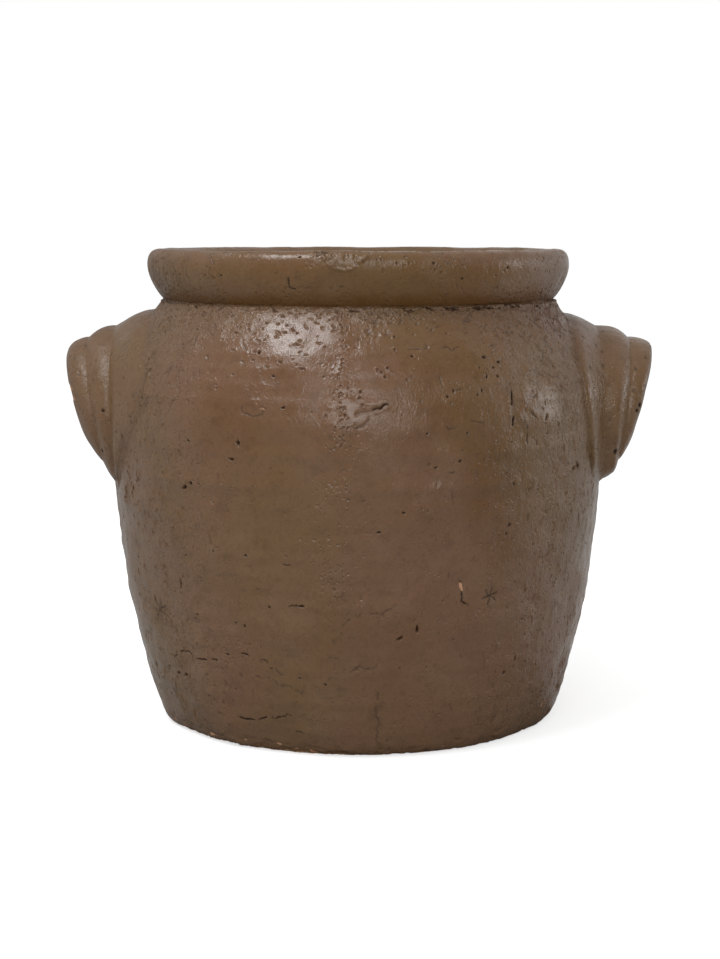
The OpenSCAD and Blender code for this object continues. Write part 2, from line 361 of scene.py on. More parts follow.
# slanted tears near the middle of the shoulder
stroke(L_([(-90.4, 193.3), (-89.8, 195.4), (-88.5, 196.4), (-87.3, 196.9)]), 1.0, 0.5, dent, 0.3, 41, dark=0.25)
stroke(L_([(-87.1, 196.9), (-86.0, 198.0), (-85.2, 197.4), (-84.3, 199.0), (-83.3, 200.0)]), 0.75, 1.0, dent, 0.35, 42, dark=0.95)
stroke(L_([(-91.2, 188.1), (-90.0, 188.6), (-88.8, 189.6), (-87.7, 191.7), (-87.3, 193.8)]), 0.8, 0.45, dent, 0.35, 43, dark=0.35)
stroke(L_([(-86.7, 194.4), (-85.0, 195.6), (-83.5, 197.0)]), 0.8, 0.38, ridge, 0.4, 51)
stroke(L_([(-89.9, 199.0), (-88.0, 200.5), (-86.0, 201.0)]), 1.0, 0.25, ridge, 0.4, 52)
stroke(L_([(-97.9, 191.6), (-97.5, 195.8), (-96.3, 197.9), (-95.0, 196.9)]), 1.3, 0.42, ridge, 0.4, 53)
stroke(L_([(-97.5, 189.5), (-95.8, 188.5), (-94.8, 191.2)]), 1.1, 0.38, ridge, 0.4, 54)
for t, z_ in ((-89.4, 206.3), (-89.6, 203.2), (-89.0, 199.5), (-81.4, 227.8), (-83.3, 218.6), (-81.1, 234.5), (-84.7, 216.5), (-85.6, 217.6), (-84.0, 214.0), (-96.6, 193.6), (-92.6, 194.0)):
    pit(t, sz(z_), 0.7, 1.0, 0, 0.55, lip=0.45, dark=0.8)
# oval blister scar, with bare clay on its right edge
oval = [(-115.3, 197.4), (-113.6, 200.6), (-111.7, 201.0), (-110.0, 197.2), (-110.6, 193.4), (-113.0, 192.3), (-115.0, 194.6), (-115.3, 197.4)]
stroke(L_(oval[:4]), 0.7, 0.28, ridge, 0.25, 56, taper=False)
stroke(L_(oval[3:]), 0.6, 0.42, dent, 0.25, 57, dark=0.5, taper=False)
put(ridge, slice(None), slice(None), 0.22 * np.exp(-((dang(TH, -112.1) / 2.0) ** 4 + ((SS - sz(196.8)) / 3.6) ** 4)).astype(np.float32))
stroke(L_([(-112.6, 200.4), (-111.2, 197.2), (-109.6, 194.6)]), 0.6, 0.3, dent, 0.3, 44, bare_w=0.5)
# fire cracks low down
stroke(L_([(-141.9, 49.6), (-137.6, 54.7), (-135.6, 55.2), (-133.1, 53.2)]), 0.45, 0.7, dent, 0.35, 45, dark=0.85, gaps=0.4, fine=0.55)
stroke(L_([(-133.1, 53.2), (-130.5, 52.6), (-126.3, 53.6), (-123.4, 52.6)]), 0.55, 1.0, dent, 0.4, 145, dark=1.0, gaps=0.47, fine=0.55)
stroke(L_([(-121.9, 20.6), (-119.5, 19.2), (-117.2, 19.2)]), 0.75, 1.1, dent, 0.5, 46, dark=1.0, fine=0.55)
stroke(L_([(-116.6, 20.0), (-115.3, 21.3), (-111.1, 21.6), (-109.3, 23.6), (-107.7, 26.0)]), 0.5, 0.9, dent, 0.45, 146, dark=1.0, gaps=0.42, fine=0.55)
stroke(L_([(-118.7, 58.7), (-116.5, 58.3)]), 0.5, 0.9, dent, 0.3, 147, dark=1.0, fine=0.55)
stroke(L_([(-114.4, 55.6), (-111.5, 55.8), (-110.6, 52.2), (-109.1, 51.6), (-107.7, 48.6)]), 0.4, 0.5, dent, 0.6, 148, dark=0.8, gaps=0.42, fine=0.6)
stroke(L_([(-106.9, 14.7), (-103.2, 15.9)]), 0.45, 0.7, dent, 0.4, 149, dark=0.95, gaps=0.42, fine=0.6)
stroke(L_([(-105.4, 89.4), (-103.8, 89.9), (-101.6, 89.8)]), 0.45, 0.8, dent, 0.25, 150, dark=0.95, fine=0.55)
stroke(L_([(-106.4, 112.8), (-104.4, 112.4)]), 0.4, 0.6, dent, 0.25, 151, dark=0.9, fine=0.6)
for k in range(7):
    f = math.radians(25 + 51.4 * k)
    stroke([(-144.7, sz(75.9)), (-144.7 + 3.0 * math.cos(f), sz(75.9) + 7.0 * math.sin(f))], 0.5, 0.5, dent, 0.3, 152 + k, dark=0.5, taper=False, fine=0.6)
for th, z, a, b in ((-115.0, 116.2, .7, .8), (-116.6, 75.9, .7, .8), (-121.3, 37.5, .5, .5), (-103.8, 48.0, .6, .6), (-130.4, 30.4, .6, .7), (-141.2, 39.9, 1.5, .8), (-145.1, 42.1, .9, .7),
                    (-97.6, 45.2, .6, .6), (-127.9, 20.5, .6, .6), (-123.2, 117.0, .5, .5), (-118.9, 77.0, .5, .5), (-134.8, 94.8, .7, 2.6), (-146.4, 81.7, .7, 1.6), (-153.8, 94.7, .7, 2.4),
                    (-154.4, 32.1, .8, 2.0), (-153.5, 39.3, .7, 2.2), (-115.9, 177.8, .7, 1.9), (-117.5, 168.9, 1.3, .8), (-128.8, 177.2, .8, .8), (-105.9, 197.6, .9, .6),
                    (-55.8, 220.1, 1.1, .9), (-57.0, 212.8, .7, .9), (-57.8, 217.4, .6, .8), (-62.1, 205.5, .5, 1.1), (-63.3, 203.4, .6, .6), (-31.9, 158.6, .8, 1.3), (-33.8, 158.2, .7, 1.1),
                    (-55.0, 131.2, .8, 1.2), (-55.7, 126.4, .7, .8), (-54.4, 154.0, .8, .9), (-68.2, 168.7, .9, .7)):
    pit(th, sz(z), a, b, rng.uniform(-25, 25), 1.0, lip=0.12, dark=1.0, fine=0.55)
for th, z in ((-134.3, 74.0), (-133.8, 24.4)):
    put(ridge, slice(None), slice(None), (0.35 * np.exp(-((dang(TH, th) / 1.6) ** 2 + ((SS - sz(z)) / 3.0) ** 2))).astype(np.float32))
# short level cracks on the right of the front
for k, line_ in enumerate((((-70.5, 228.5), (-68.4, 229.4), (-67.6, 227.3), (-65.6, 229.2)), ((-71.6, 187.3), (-70.7, 185.6), (-69.3, 187.1)), ((-65.9, 188.3), (-64.2, 188.9), (-62.3, 188.0)),
                           ((-70.9, 162.8), (-69.1, 162.6)), ((-68.4, 206.6), (-66.8, 206.9)), ((-78.0, 228.0), (-76.0, 228.6), (-74.4, 227.8)))):
    stroke(L_(line_), 0.42, 0.45, dent, 0.3, 170 + k, dark=0.6, fine=0.6)
for k, line_ in enumerate((((-50.6, 146.4), (-48.0, 151.9)), ((-46.2, 146.5), (-45.0, 150.1)), ((-59.4, 144.9), (-56.2, 148.2), (-53.5, 149.0)))):
    stroke(L_(line_), 0.7, 0.4, ridge, 0.3, 180 + k, fine=0.7)
stroke(L_([(-111.0, 22.0), (-108.0, 25.0), (-103.5, 24.0)]), 0.5, 0.4, dent, 0.8, 47, dark=0.7, gaps=0.45)
stroke(L_([(-117.0, 45.5), (-111.0, 45.0), (-105.0, 40.5), (-101.0, 38.0)]), 0.5, 0.3, dent, 1.0, 48, dark=0.5, gaps=0.5)
stroke(L_([(-95.5, 78.0), (-91.0, 84.0), (-85.5, 85.0), (-80.5, 90.0)]), 0.5, 0.3, dent, 0.8, 49, dark=0.6, gaps=0.4)
stroke(L_([(-92.0, 52.0), (-89.5, 55.0), (-86.5, 56.0)]), 0.6, 0.4, dent, 0.8, 50, dark=0.6)
# curved crack with a spot of bare clay, and a star crack beside it
stroke(L_([(-67.5, 103.0), (-66.6, 99.5), (-66.4, 95.0), (-66.5, 91.0), (-64.6, 88.5)]), 0.65, 0.9, dent, 0.2, 51, dark=0.9)
stroke(L_([(-67.1, 101.0), (-66.5, 97.0)]), 0.8, 0.25, dent, 0.1, 52, bare_w=1.0)
for k in range(6):
    f = math.radians(18 + 60 * k)
    stroke([(-59.0, sz(92.0)), (-59.0 + 2.0 * math.cos(f), sz(92.0) + 4.8 * math.sin(f))], 0.5, 0.6, dent, 0.25, 53 + k, dark=0.8, taper=False)
# raised glaze runs on the right
stroke(L_([(-55.0, 208.8), (-55.2, 202.4), (-55.7, 194.5), (-55.7, 186.2)]), 0.8, 0.75, ridge, 0.3, 61, fine=0.6)
stroke(L_([(-54.2, 205.0), (-54.5, 199.0), (-54.7, 196.0)]), 0.75, 1.1, dent, 0.35, 161, dark=1.0, fine=0.55)
stroke(L_([(-54.8, 191.5), (-54.9, 186.0)]), 0.75, 1.1, dent, 0.3, 163, dark=1.0, fine=0.55)
stroke(L_([(-54.0, 209.0), (-54.6, 193.0)]), 0.4, 0.5, dent, 0.3, 164, dark=0.5, fine=0.6)
stroke(L_([(-51.2, 207.0), (-51.0, 198.5), (-52.9, 191.6), (-51.4, 183.2), (-51.7, 171.0)]), 0.9, 0.85, ridge, 0.55, 62, fine=0.65)
stroke(L_([(-52.0, 190.2), (-50.6, 183.0), (-50.8, 172.0)]), 0.6, 0.6, dent, 0.5, 162, dark=0.7, fine=0.6)
stroke(L_([(-49.7, 193.0), (-48.7, 190.4), (-47.7, 188.2)]), 0.7, 0.5, dent, 0.2, 165, dark=0.7, fine=0.6)
stroke(L_([(-49.9, 201.5), (-48.2, 200.9), (-46.8, 201.6)]), 0.5, 0.35, dent, 0.3, 166, dark=0.5, fine=0.6)
stroke(L_([(-52.8, 150.2), (-52.0, 133.3), (-53.5, 128.0), (-57.2, 122.2), (-58.0, 116.7)]), 1.1, 0.4, ridge, 0.6, 167, fine=0.8)
stroke(L_([(-51.0, 214.5), (-49.0, 213.0), (-47.4, 215.5), (-45.4, 213.8)]), 0.8, 0.6, ridge, 0.5, 168, fine=0.7)
stroke(L_([(-55.5, 166.0), (-51.0, 140.0), (-49.0, 118.0), (-50.0, 104.0)]), 1.5, 0.22, ridge, 1.2, 63, fine=1.0)
stroke(L_([(-49.0, 106.0), (-50.0, 92.0), (-50.5, 78.0), (-51.0, 62.0)]), 1.4, 0.22, ridge, 1.2, 64, fine=1.0)
stroke(L_([(-47.5, 120.0), (-44.0, 132.0), (-41.0, 142.0)]), 1.0, 0.25, ridge, 1.0, 65, fine=1.0)
stroke(L_([(-45.0, 150.0), (-42.0, 158.0)]), 0.9, 0.25, ridge, 0.8, 66, fine=0.9)
stroke(L_([(-41.0, 146.0), (-38.5, 155.0)]), 0.9, 0.22, ridge, 0.8, 67, fine=0.9)
stroke(L_([(-85.6, 62.0), (-85.2, 36.0), (-84.6, 3.0)]), 0.6, 0.3, dent, 0.8, 68, dark=0.45, gaps=0.4)
g = np.random.default_rng(90)
for k in range(46):
    th, z = g.uniform(-44, -24), g.uniform(138, 186)
    stroke(L_([(th, z), (th + g.uniform(-0.8, 0.8), z - 4), (th + g.uniform(-1.2, 1.2), z - g.uniform(7, 12))]), g.uniform(0.6, 0.95), g.uniform(0.2, 0.42), ridge, 0.7, 700 + k, fine=0.8)
for k in range(40):
    th, z = g.uniform(-48, -24), g.uniform(205, 244)
    stroke(L_([(th, z), (th + 1.6, z - 3), (th + g.uniform(2.2, 3.6), z - g.uniform(5, 8))]), g.uniform(0.55, 0.85), g.uniform(0.25, 0.5), ridge if k % 2 else dent, 0.6, 760 + k, dark=0.35 * (k % 2 == 0), fine=0.8)
    th, z = g.uniform(-163, -132), g.uniform(196, 244)
    stroke(L_([(th, z), (th - 1.6, z - 3), (th - g.uniform(2.2, 3.6), z - g.uniform(5, 9))]), g.uniform(0.55, 0.85), g.uniform(0.25, 0.5), ridge if k % 2 else dent, 0.6, 810 + k, dark=0.35 * (k % 2 == 0), fine=0.8)
for t, z_, n in ((-147.6, 212.3, 5), (-149.2, 216.0, 2), (-146.8, 194.6, 3), (-146.9, 201.0, 2), (-156.1, 141.1, 8), (-147.9, 151.7, 5), (-151.7, 144.8, 7), (-153.5, 154.7, 6), (-26.0, 178.0, 4), (-21.5, 226.0, 6), (-24.5, 162.0, 5)):
    for k in range(n):
        pit(t + g.normal(0, 0.5), sz(z_ + g.normal(0, 1.8)), g.uniform(0.45, 0.95), g.uniform(0.6, 1.4), g.uniform(-30, 30), g.uniform(0.5, 0.9), lip=0.3, dark=0.95 if k % 2 == 0 else 0.5)
stroke(L_([(-150.2, 220.0), (-147.9, 211.0), (-146.9, 201.0), (-146.8, 193.0)]), 0.5, 0.5, dent, 0.5, 91, dark=0.7, gaps=0.4)
# the same kind of marks on the sides that face away
for k in range(16):
    g = np.random.default_rng(300 + k)
    th, z = g.uniform(-12, 210), g.uniform(20, 200)
    if abs(dang(th, 0)) < 26 or abs(dang(th, 180)) < 26:
        z = g.uniform(20, 120)
    f = g.uniform(-0.6, 0.6) + (1.57 if k % 2 else 0.0)
    n = 4
    pts = [(th + t * 7 * math.cos(f) / 2.4 * 1.0, z + t * 7 * math.sin(f)) for t in np.linspace(-1, 1, n)]
    if k % 3:
        stroke(L_(pts), g.uniform(0.5, 0.8), g.uniform(0.4, 0.9), dent, 0.6, 330 + k, dark=0.8, gaps=0.3)
    else:
        stroke(L_([(t, z_ * 1.0) for t, z_ in pts]), 1.2, 0.3, ridge, 1.0, 330 + k, fine=1.0)

# ---- rim
def srim(v):
    """Place on the rim: 0 at the neck, 1 at the widest point, 2 at the crest, 3 well inside."""
    return float(np.interp(v, [0, 1, 2, 3], [S_NECK, S_RIMOUT, S_CREST, S_CREST + 16]))


lump = np.exp(-((dang(TH, -93.4) / 5.0) ** 4 + ((SS - srim(1.42)) / 7.5) ** 4))
lump_edge = lump * 0.0
ridge += (0.62 * lump).astype(np.float32)
stroke([(-98.7, srim(1.75)), (-98.0, srim(1.35)), (-96.3, srim(1.08)), (-93.4, srim(1.0)), (-90.8, srim(1.06)), (-89.2, srim(1.3)), (-87.6, srim(1.5))], 1.4, 1.05, ridge, 0.45, 870, fine=0.8, taper=False)
for f in range(5):
    stroke([(-99.2, srim(1.62)), (-99.2 + 1.7 * math.cos(f * 1.3), srim(1.62) + 3.0 * math.sin(f * 1.3))], 0.5, 0.55, dent, 0.3, 880 + f, dark=0.8)
put(want, slice(None), slice(None), np.where((lump + lump_edge) > 0.1, 0.9, 9.0), np.minimum)
g = np.random.default_rng(71)
for k in range(34):
    th, v = -93.5 + g.normal(0, 4.0), g.uniform(1.2, 2.1)
    pit(th, srim(v), g.uniform(0.45, 0.85), g.uniform(0.45, 0.85), g.uniform(-90, 90), g.uniform(0.2, 0.5), lip=0.35, dark=0.5)
for k in range(34):
    th, v = g.uniform(-97, -70), g.uniform(1.2, 2.2)
    pit(th, srim(v), g.uniform(0.5, 0.9), g.uniform(0.6, 1.2), g.uniform(-40, 40), g.uniform(0.2, 0.5), lip=0.25, dark=0.5)
rim_rough = 0.10 + 0.30 * patchy + 0.9 * gauss(dang(TH, -158.0), 0, 16.0) + 0.6 * gauss(dang(TH, -25.0), 0, 18.0)
for th, s in scatter(520, 72, np.clip(rim_rough, 0, 1) * (SS > S_NECK), S_NECK + 2, S_CREST + 14):
    a = g.uniform(0.4, 0.9)
    pit(th, s, a, a * g.uniform(0.8, 2.0), g.uniform(-40, 40), g.uniform(0.15, 0.45), dark=g.uniform(0.2, 0.7))
for k in range(24):
    th = -166 + g.uniform(0, 26)
    stroke([(th, srim(0.35)), (th + g.uniform(-2, 2), srim(1.0)), (th + g.uniform(-2, 2), srim(1.5))], 0.7, 0.22, dent, 0.5, 400 + k, dark=0.2, fine=0.9)
stroke([(-107.6, srim(0.86)), (-107.5, srim(0.52)), (-105.6, srim(0.50))], 0.45, 0.6, dent, 0.08, 73, dark=1.0)
stroke([(-105.2, srim(0.55)), (-101.5, srim(0.52))], 0.5, 0.22, dent, 0.3, 74, dark=0.4)
for th, v, a, b in ((-118.8, 1.75, 1.0, 0.6), (-104.5, 1.45, 0.7, 0.6), (-127.0, 0.8, 0.6, 0.9), (-63.0, 0.75, 0.8, 0.7), (-71.0, 1.2, 0.8, 0.9),
                    (-49.0, 1.0, 0.7, 0.9), (20.0, 1.2, 1.0, 0.8), (75.0, 1.5, 0.9, 0.7), (130.0, 0.9, 0.9, 0.7), (166.0, 1.8, 0.7, 0.7)):
    pit(th, srim(v), a, b, 0, 0.6, dark=1.0)

# ---- the crease under the rim: beads of glaze and torn clay
g = np.random.default_rng(75)
for th in np.arange(-180.0, 180.0, 1.05):
    t = th + g.uniform(-0.3, 0.3)
    d_ = dang(t, -90.0)
    busy = 0.25 if -42 < d_ < -12 else 0.95
    if g.random() < busy:
        bead(t, S_NECK - g.uniform(1.7, 2.7), g.uniform(0.8, 1.5), g.uniform(0.6, 0.9), g.uniform(0.6, 1.1))
    if g.random() < busy * 0.8:
        pit(t + 0.5, S_NECK - g.uniform(3.4, 6.5), g.uniform(0.45, 0.95), g.uniform(0.4, 0.75), g.uniform(-20, 20), g.uniform(0.25, 0.6), lip=0.4, dark=g.uniform(0.3, 0.9))
for k in range(46):
    t = g.uniform(-180, 180) if k % 2 else g.uniform(-80, -40)
    stroke([(t, S_NECK - 2.0), (t + g.uniform(1, 3.5), S_NECK - g.uniform(2.5, 4.0))], 0.6, 0.7, dent, 0.5, 900 + k, dark=0.95)

# ---- pale specks of lime near the foot on the right
for k in range(9):
    win = window(-29.2 + rng.normal(0, 1.3), sz(17.0 + rng.normal(0, 1.6)), 2.0)
    rows, cols, x, y = win
    a = rng.uniform(0.4, 0.8)
    blob = np.exp(-((np.sqrt(x * x + y * y) / a) ** 4))
    put(bare, rows, cols, 0.9 * blob)
    put(ridge, rows, cols, 0.3 * blob)
    put(want, rows, cols, np.where(blob > 0.05, 0.7, 9.0), np.minimum)

# ---- broken foot edge, with bare clay showing at the lower left
g = np.random.default_rng(81)
for k in range(210):
    th = g.uniform(-180, 180) if k % 3 else g.uniform(-155, -98)
    s = g.uniform(1.0, 12.5)
    a = g.uniform(0.8, 2.6)
    deep = g.uniform(0.25, 0.9)
    pit(th, s, a * g.uniform(1, 2), a * 0.8, g.uniform(-20, 20), deep, lip=0.0, dark=0.15, fine=0.9)
    if (-156 < th < -96 and g.random() < 0.6 and s < 7.0) or g.random() < 0.08:
        win = window(th, s, 4.5)
        rows, cols, x, y = win
        put(bare, rows, cols, np.exp(-((np.sqrt((x / (a * 1.1)) ** 2 + (y / (a * 0.6)) ** 2)) ** 4)) * g.uniform(0.4, 0.9))
pit(-94.6, 5.0, 3.6, 2.2, 0, 1.3, lip=0.0, dark=0.2, fine=0.9)
pit(-97.6, 4.0, 2.4, 1.8, 0, 0.9, lip=0.0, dark=0.2, fine=0.9)

# ---- broad shape: hand-thrown wobble, faint rings, seam ridge
wob = 0.42 * band(70, 400, 1) + 0.20 * band(22, 60, 2) + 0.085 * band(9, 20, 3) * (0.5 + rough)
ring_amp = 0.5 + 0.5 * sstep(band(60, 200, 4), -1, 1)
rings = np.zeros((ROWS, 1))
for z, amp, wd in ((201, .10, 4), (187, .20, 3.2), (181, -.14, 2.5), (172, .20, 3.5), (164, -.10, 3), (155, .22, 3.4), (146, -.08, 4), (137, .12, 4),
                   (118, .10, 5), (98, -.10, 5), (76, .10, 5), (58, -.08, 5), (33, .12, 4), (214, -.10, 4), (228, .08, 4)):
    rings += amp * gauss(SS, sz(z), wd)
rings = 1.9 * rings + 0.10 * np.sin(SS * TAU / 9.3 + 0.6 * np.sin(SS / 17.0))
relief = wob * (0.35 + 0.65 * on_wall) + rings * ring_amp * on_wall + 0.16 * seam_front * on_wall + 0.16 * seam_back * on_wall
relief += 0.75 * np.exp(-((dang(TH, -45.5) / 6.5) ** 4 + ((ZZ - 195.0) / 12.0) ** 4)) * on_wall      # a bump on the right shoulder
fade_in = sstep(SS, S_CREST + 2, S_CREST + 16)
edge_keep = sstep(SS, 0.0, 6.0)
H = (relief * edge_keep + ridge - dent) * (1 - 0.85 * fade_in)
# the foot edge itself wanders a little
H = H + (1 - edge_keep) * np.minimum(0.0, 0.45 * band(8, 40, 5) + 0.25 * band(3, 9, 6)) - (1 - edge_keep) * 0.1
H = H.astype(np.float32)
for th, z, wt_, wz_, a in ((-60.5, 157.0, 6.5, 26.0, 0.85), (-57.0, 120.0, 4.0, 12.0, 0.6), (-119.0, 192.0, 8.0, 20.0, 0.5), (-70.0, 205.0, 9.0, 28.0, 0.45), (-137.0, 120.0, 5.0, 40.0, 0.3),
                           (-84.0, 60.0, 9.0, 30.0, 0.25), (60.0, 150.0, 9.0, 40.0, 0.6), (118.0, 200.0, 8.0, 26.0, 0.6), (150.0, 90.0, 9.0, 40.0, 0.5), (24.0, 110.0, 8.0, 40.0, 0.5)):
    tint = np.maximum(tint, a * np.exp(-((dang(TH, th) / wt_) ** 4 + ((ZZ - z) / wz_) ** 4)).astype(np.float32) * (0.75 + 0.25 * sstep(band(12, 50, 12), -1, 1)))
smooth_bump = np.exp(-((dang(TH, -45.5) / 6.5) ** 4 + ((ZZ - 195.0) / 13.0) ** 4))
rough = rough * (1 - 0.92 * smooth_bump)
fine_grit = np.clip(rough + (1 - on_wall) * np.clip(rim_rough * 0.7, 0, 1), 0, 1).astype(np.float32)
want[(np.abs(SS - S_NECK) < 1.2)[:, 0], :] = np.minimum(want[(np.abs(SS - S_NECK) < 1.2)[:, 0], :], 1.15)
want[(SS < 14.0)[:, 0], :] = np.minimum(want[(SS < 14.0)[:, 0], :], 1.6)


def sample(layer, th, s):
    i = (th + math.pi) / DTH - 0.5
    j = np.clip(s / DS, 0, ROWS - 1.001)
    i0 = np.floor(i).astype(np.int64)
    j0 = j.astype(np.int64)
    fi, fj = i - i0, j - j0
    i0 %= W
    i1 = (i0 + 1) % W
    return ((layer[j0, i0] * (1 - fi) + layer[j0, i1] * fi) * (1 - fj) + (layer[j0 + 1, i0] * (1 - fi) + layer[j0 + 1, i1] * fi) * fj)


# ---------------------------------------------------------------- noise in space, for insides and lugs
def vnoise(p, size, seed):
    q = p / size
    i = np.floor(q).astype(np.int64)
    f = q - i
    w = f * f * f * (f * (f * 6 - 15) + 10)
    out = np.zeros(len(p))
    for dx in (0, 1):
        for dy in (0, 1):
            for dz in (0, 1):
                h = (i[:, 0] + dx) * 73856093 ^ (i[:, 1] + dy) * 19349663 ^ (i[:, 2] + dz) * 83492791 ^ (seed * 2654435761)
                h = (h ^ (h >> 13)) * 1274126177 & 0xFFFFFFFF
                h = (h ^ (h >> 16)) & 0xFFFF
                c = (w[:, 0] if dx else 1 - w[:, 0]) * (w[:, 1] if dy else 1 - w[:, 1]) * (w[:, 2] if dz else 1 - w[:, 2])
                out += c * (h / 32767.5 - 1.0)
    return out


# ---------------------------------------------------------------- meshes
def make_mesh(name, V, F, N=None, attrs=None):
    me = bpy.data.meshes.new(name)
    k = F.shape[1]
    me.vertices.add(len(V))
    me.vertices.foreach_set("co", (V * MM).astype(np.float32).ravel())
    me.loops.add(len(F) * k)
    me.loops.foreach_set("vertex_index", F.astype(np.int32).ravel())
    me.polygons.add(len(F))
    me.polygons.foreach_set("loop_start", (np.arange(len(F)) * k).astype(np.int32))
    me.polygons.foreach_set("use_smooth", np.ones(len(F), bool))
    for key, val in (attrs or {}).items():
        a = me.attributes.new(key, "FLOAT", "POINT")
        a.data.foreach_set("value", np.asarray(val, np.float32))
    me.update(calc_edges=True)
    me.validate()
    if N is not None:
        me.normals_split_custom_set_from_vertices(N.astype(np.float32))
    ob = bpy.data.objects.new(name, me)
    bpy.context.scene.collection.objects.link(ob)
    return ob


def face_normals(V, F):
    if F.shape[1] == 3:
        return np.cross(V[F[:, 1]] - V[F[:, 0]], V[F[:, 2]] - V[F[:, 0]])
    return np.cross(V[F[:, 2]] - V[F[:, 0]], V[F[:, 3]] - V[F[:, 1]])


def vertex_normals(V, F, use=None):
    fn = face_normals(V, F)
    if use is not None:
        fn = fn * use[:, None]
    N = np.zeros_like(V)
    for k in range(F.shape[1]):
        for c in range(3):
            N[:, c] += np.bincount(F[:, k], fn[:, c], minlength=len(V))
    return N / np.maximum(np.linalg.norm(N, axis=1), 1e-12)[:, None]


class Section:
    """A closed section turned round the pot's axis. runs: (points, cells, kind, s0, s1); kind is 'out' for the outside, whose relief comes from
    the height field, 'in' for the inside and 'joint' for a hidden face."""

    def __init__(self, runs):
        self.tab = []
        rr, zz, nr, nz, ss, wo, wi, bb = [], [], [], [], [], [], [], []
        b0 = 0
        for pts, cells, kind, s0, s1 in runs:
            n = cells * 40 + 1
            d = np.concatenate([[0], np.cumsum(np.hypot(*np.diff(pts, axis=0).T))])
            t = np.linspace(0, d[-1], n)
            r, z = np.interp(t, d, pts[:, 0]), np.interp(t, d, pts[:, 1])
            if kind == "out":
                s = np.interp(t / d[-1], [0, 1], [s0, s1])
                a, b = np.interp(s, s_dense, o_nr), np.interp(s, s_dense, o_nz)
            else:
                s = np.zeros(n)
                gr, gz = np.gradient(r), np.gradient(z)
                l = np.hypot(gr, gz)
                a, b = gz / l, -gr / l
            rr.append(r), zz.append(z), nr.append(a), nz.append(b), ss.append(s)
            wo.append(np.full(n, 1.0 if kind == "out" else 0.0))
            wi.append((np.sin(np.pi * np.linspace(0, 1, n)) ** 0.4 if kind == "in" else np.zeros(n)))
            bb.append(b0 + np.linspace(0, cells, n))
            b0 += cells
        self.nb = b0
        self.bb = bb
        self.runs = runs
        self.t = [rr, zz, nr, nz, ss, wo, wi]
        self.ends = np.cumsum([r[1] for r in runs])

    def at(self, b, seg):
        """Values at parameter b, taking segment seg (array of run numbers) so that corners stay sharp."""
        out = np.zeros((7, len(b)))
        for k in range(len(self.runs)):
            m = seg == k
            if m.any():
                for q in range(7):
                    out[q, m] = np.interp(b[m], self.bb[k], self.t[q][k])
        return out


def seg_of(sec, b):
    return np.clip(np.searchsorted(sec.ends, b, side="right"), 0, len(sec.runs) - 1)


def surf(sec, a, b, NA, seed):
    """Points of the surface at grid parameters a (round) and b (along the section)."""
    th = SEAM + a * (TAU / NA)
    th = (th + math.pi) % TAU - math.pi
    bm = np.mod(b, sec.nb)
    seg = seg_of(sec, bm)
    r, z, nr, nz, s, wo, wi = sec.at(bm, seg)
    # a corner vertex that ends the outside keeps the outside's relief
    for k, run in enumerate(sec.runs):
        if run[2] == "out":
            e = sec.ends[k]
            hit = np.abs(bm - (e % sec.nb)) < 1e-9
            if hit.any():
                nr[hit], nz[hit], s[hit], wo[hit] = np.interp(run[4], s_dense, o_nr), np.interp(run[4], s_dense, o_nz), run[4], 1.0
    h = sample(H, th, s) * wo
    inner = wi > 0
    if inner.any():
        p = np.stack([r * np.cos(th), r * np.sin(th), z], 1)[inner]
        hi = 0.35 * vnoise(p, 45.0, seed) + 0.22 * np.sin(p[:, 2] * TAU / 8.5 + 0.8 * vnoise(p, 60.0, seed + 5)) + 0.15 * vnoise(p, 9.0, seed + 9)
        h[inner] += hi * wi[inner]
    r2, z2 = r + nr * h, z + nz * h
    z2 = np.maximum(z2, 0.0)
    return np.stack([r2 * np.cos(th), r2 * np.sin(th), z2], 1), th, s, wo


def want_at(sec, th, s, wo, inside):
    return np.where(wo > 0.5, sample(want, th, s), inside)


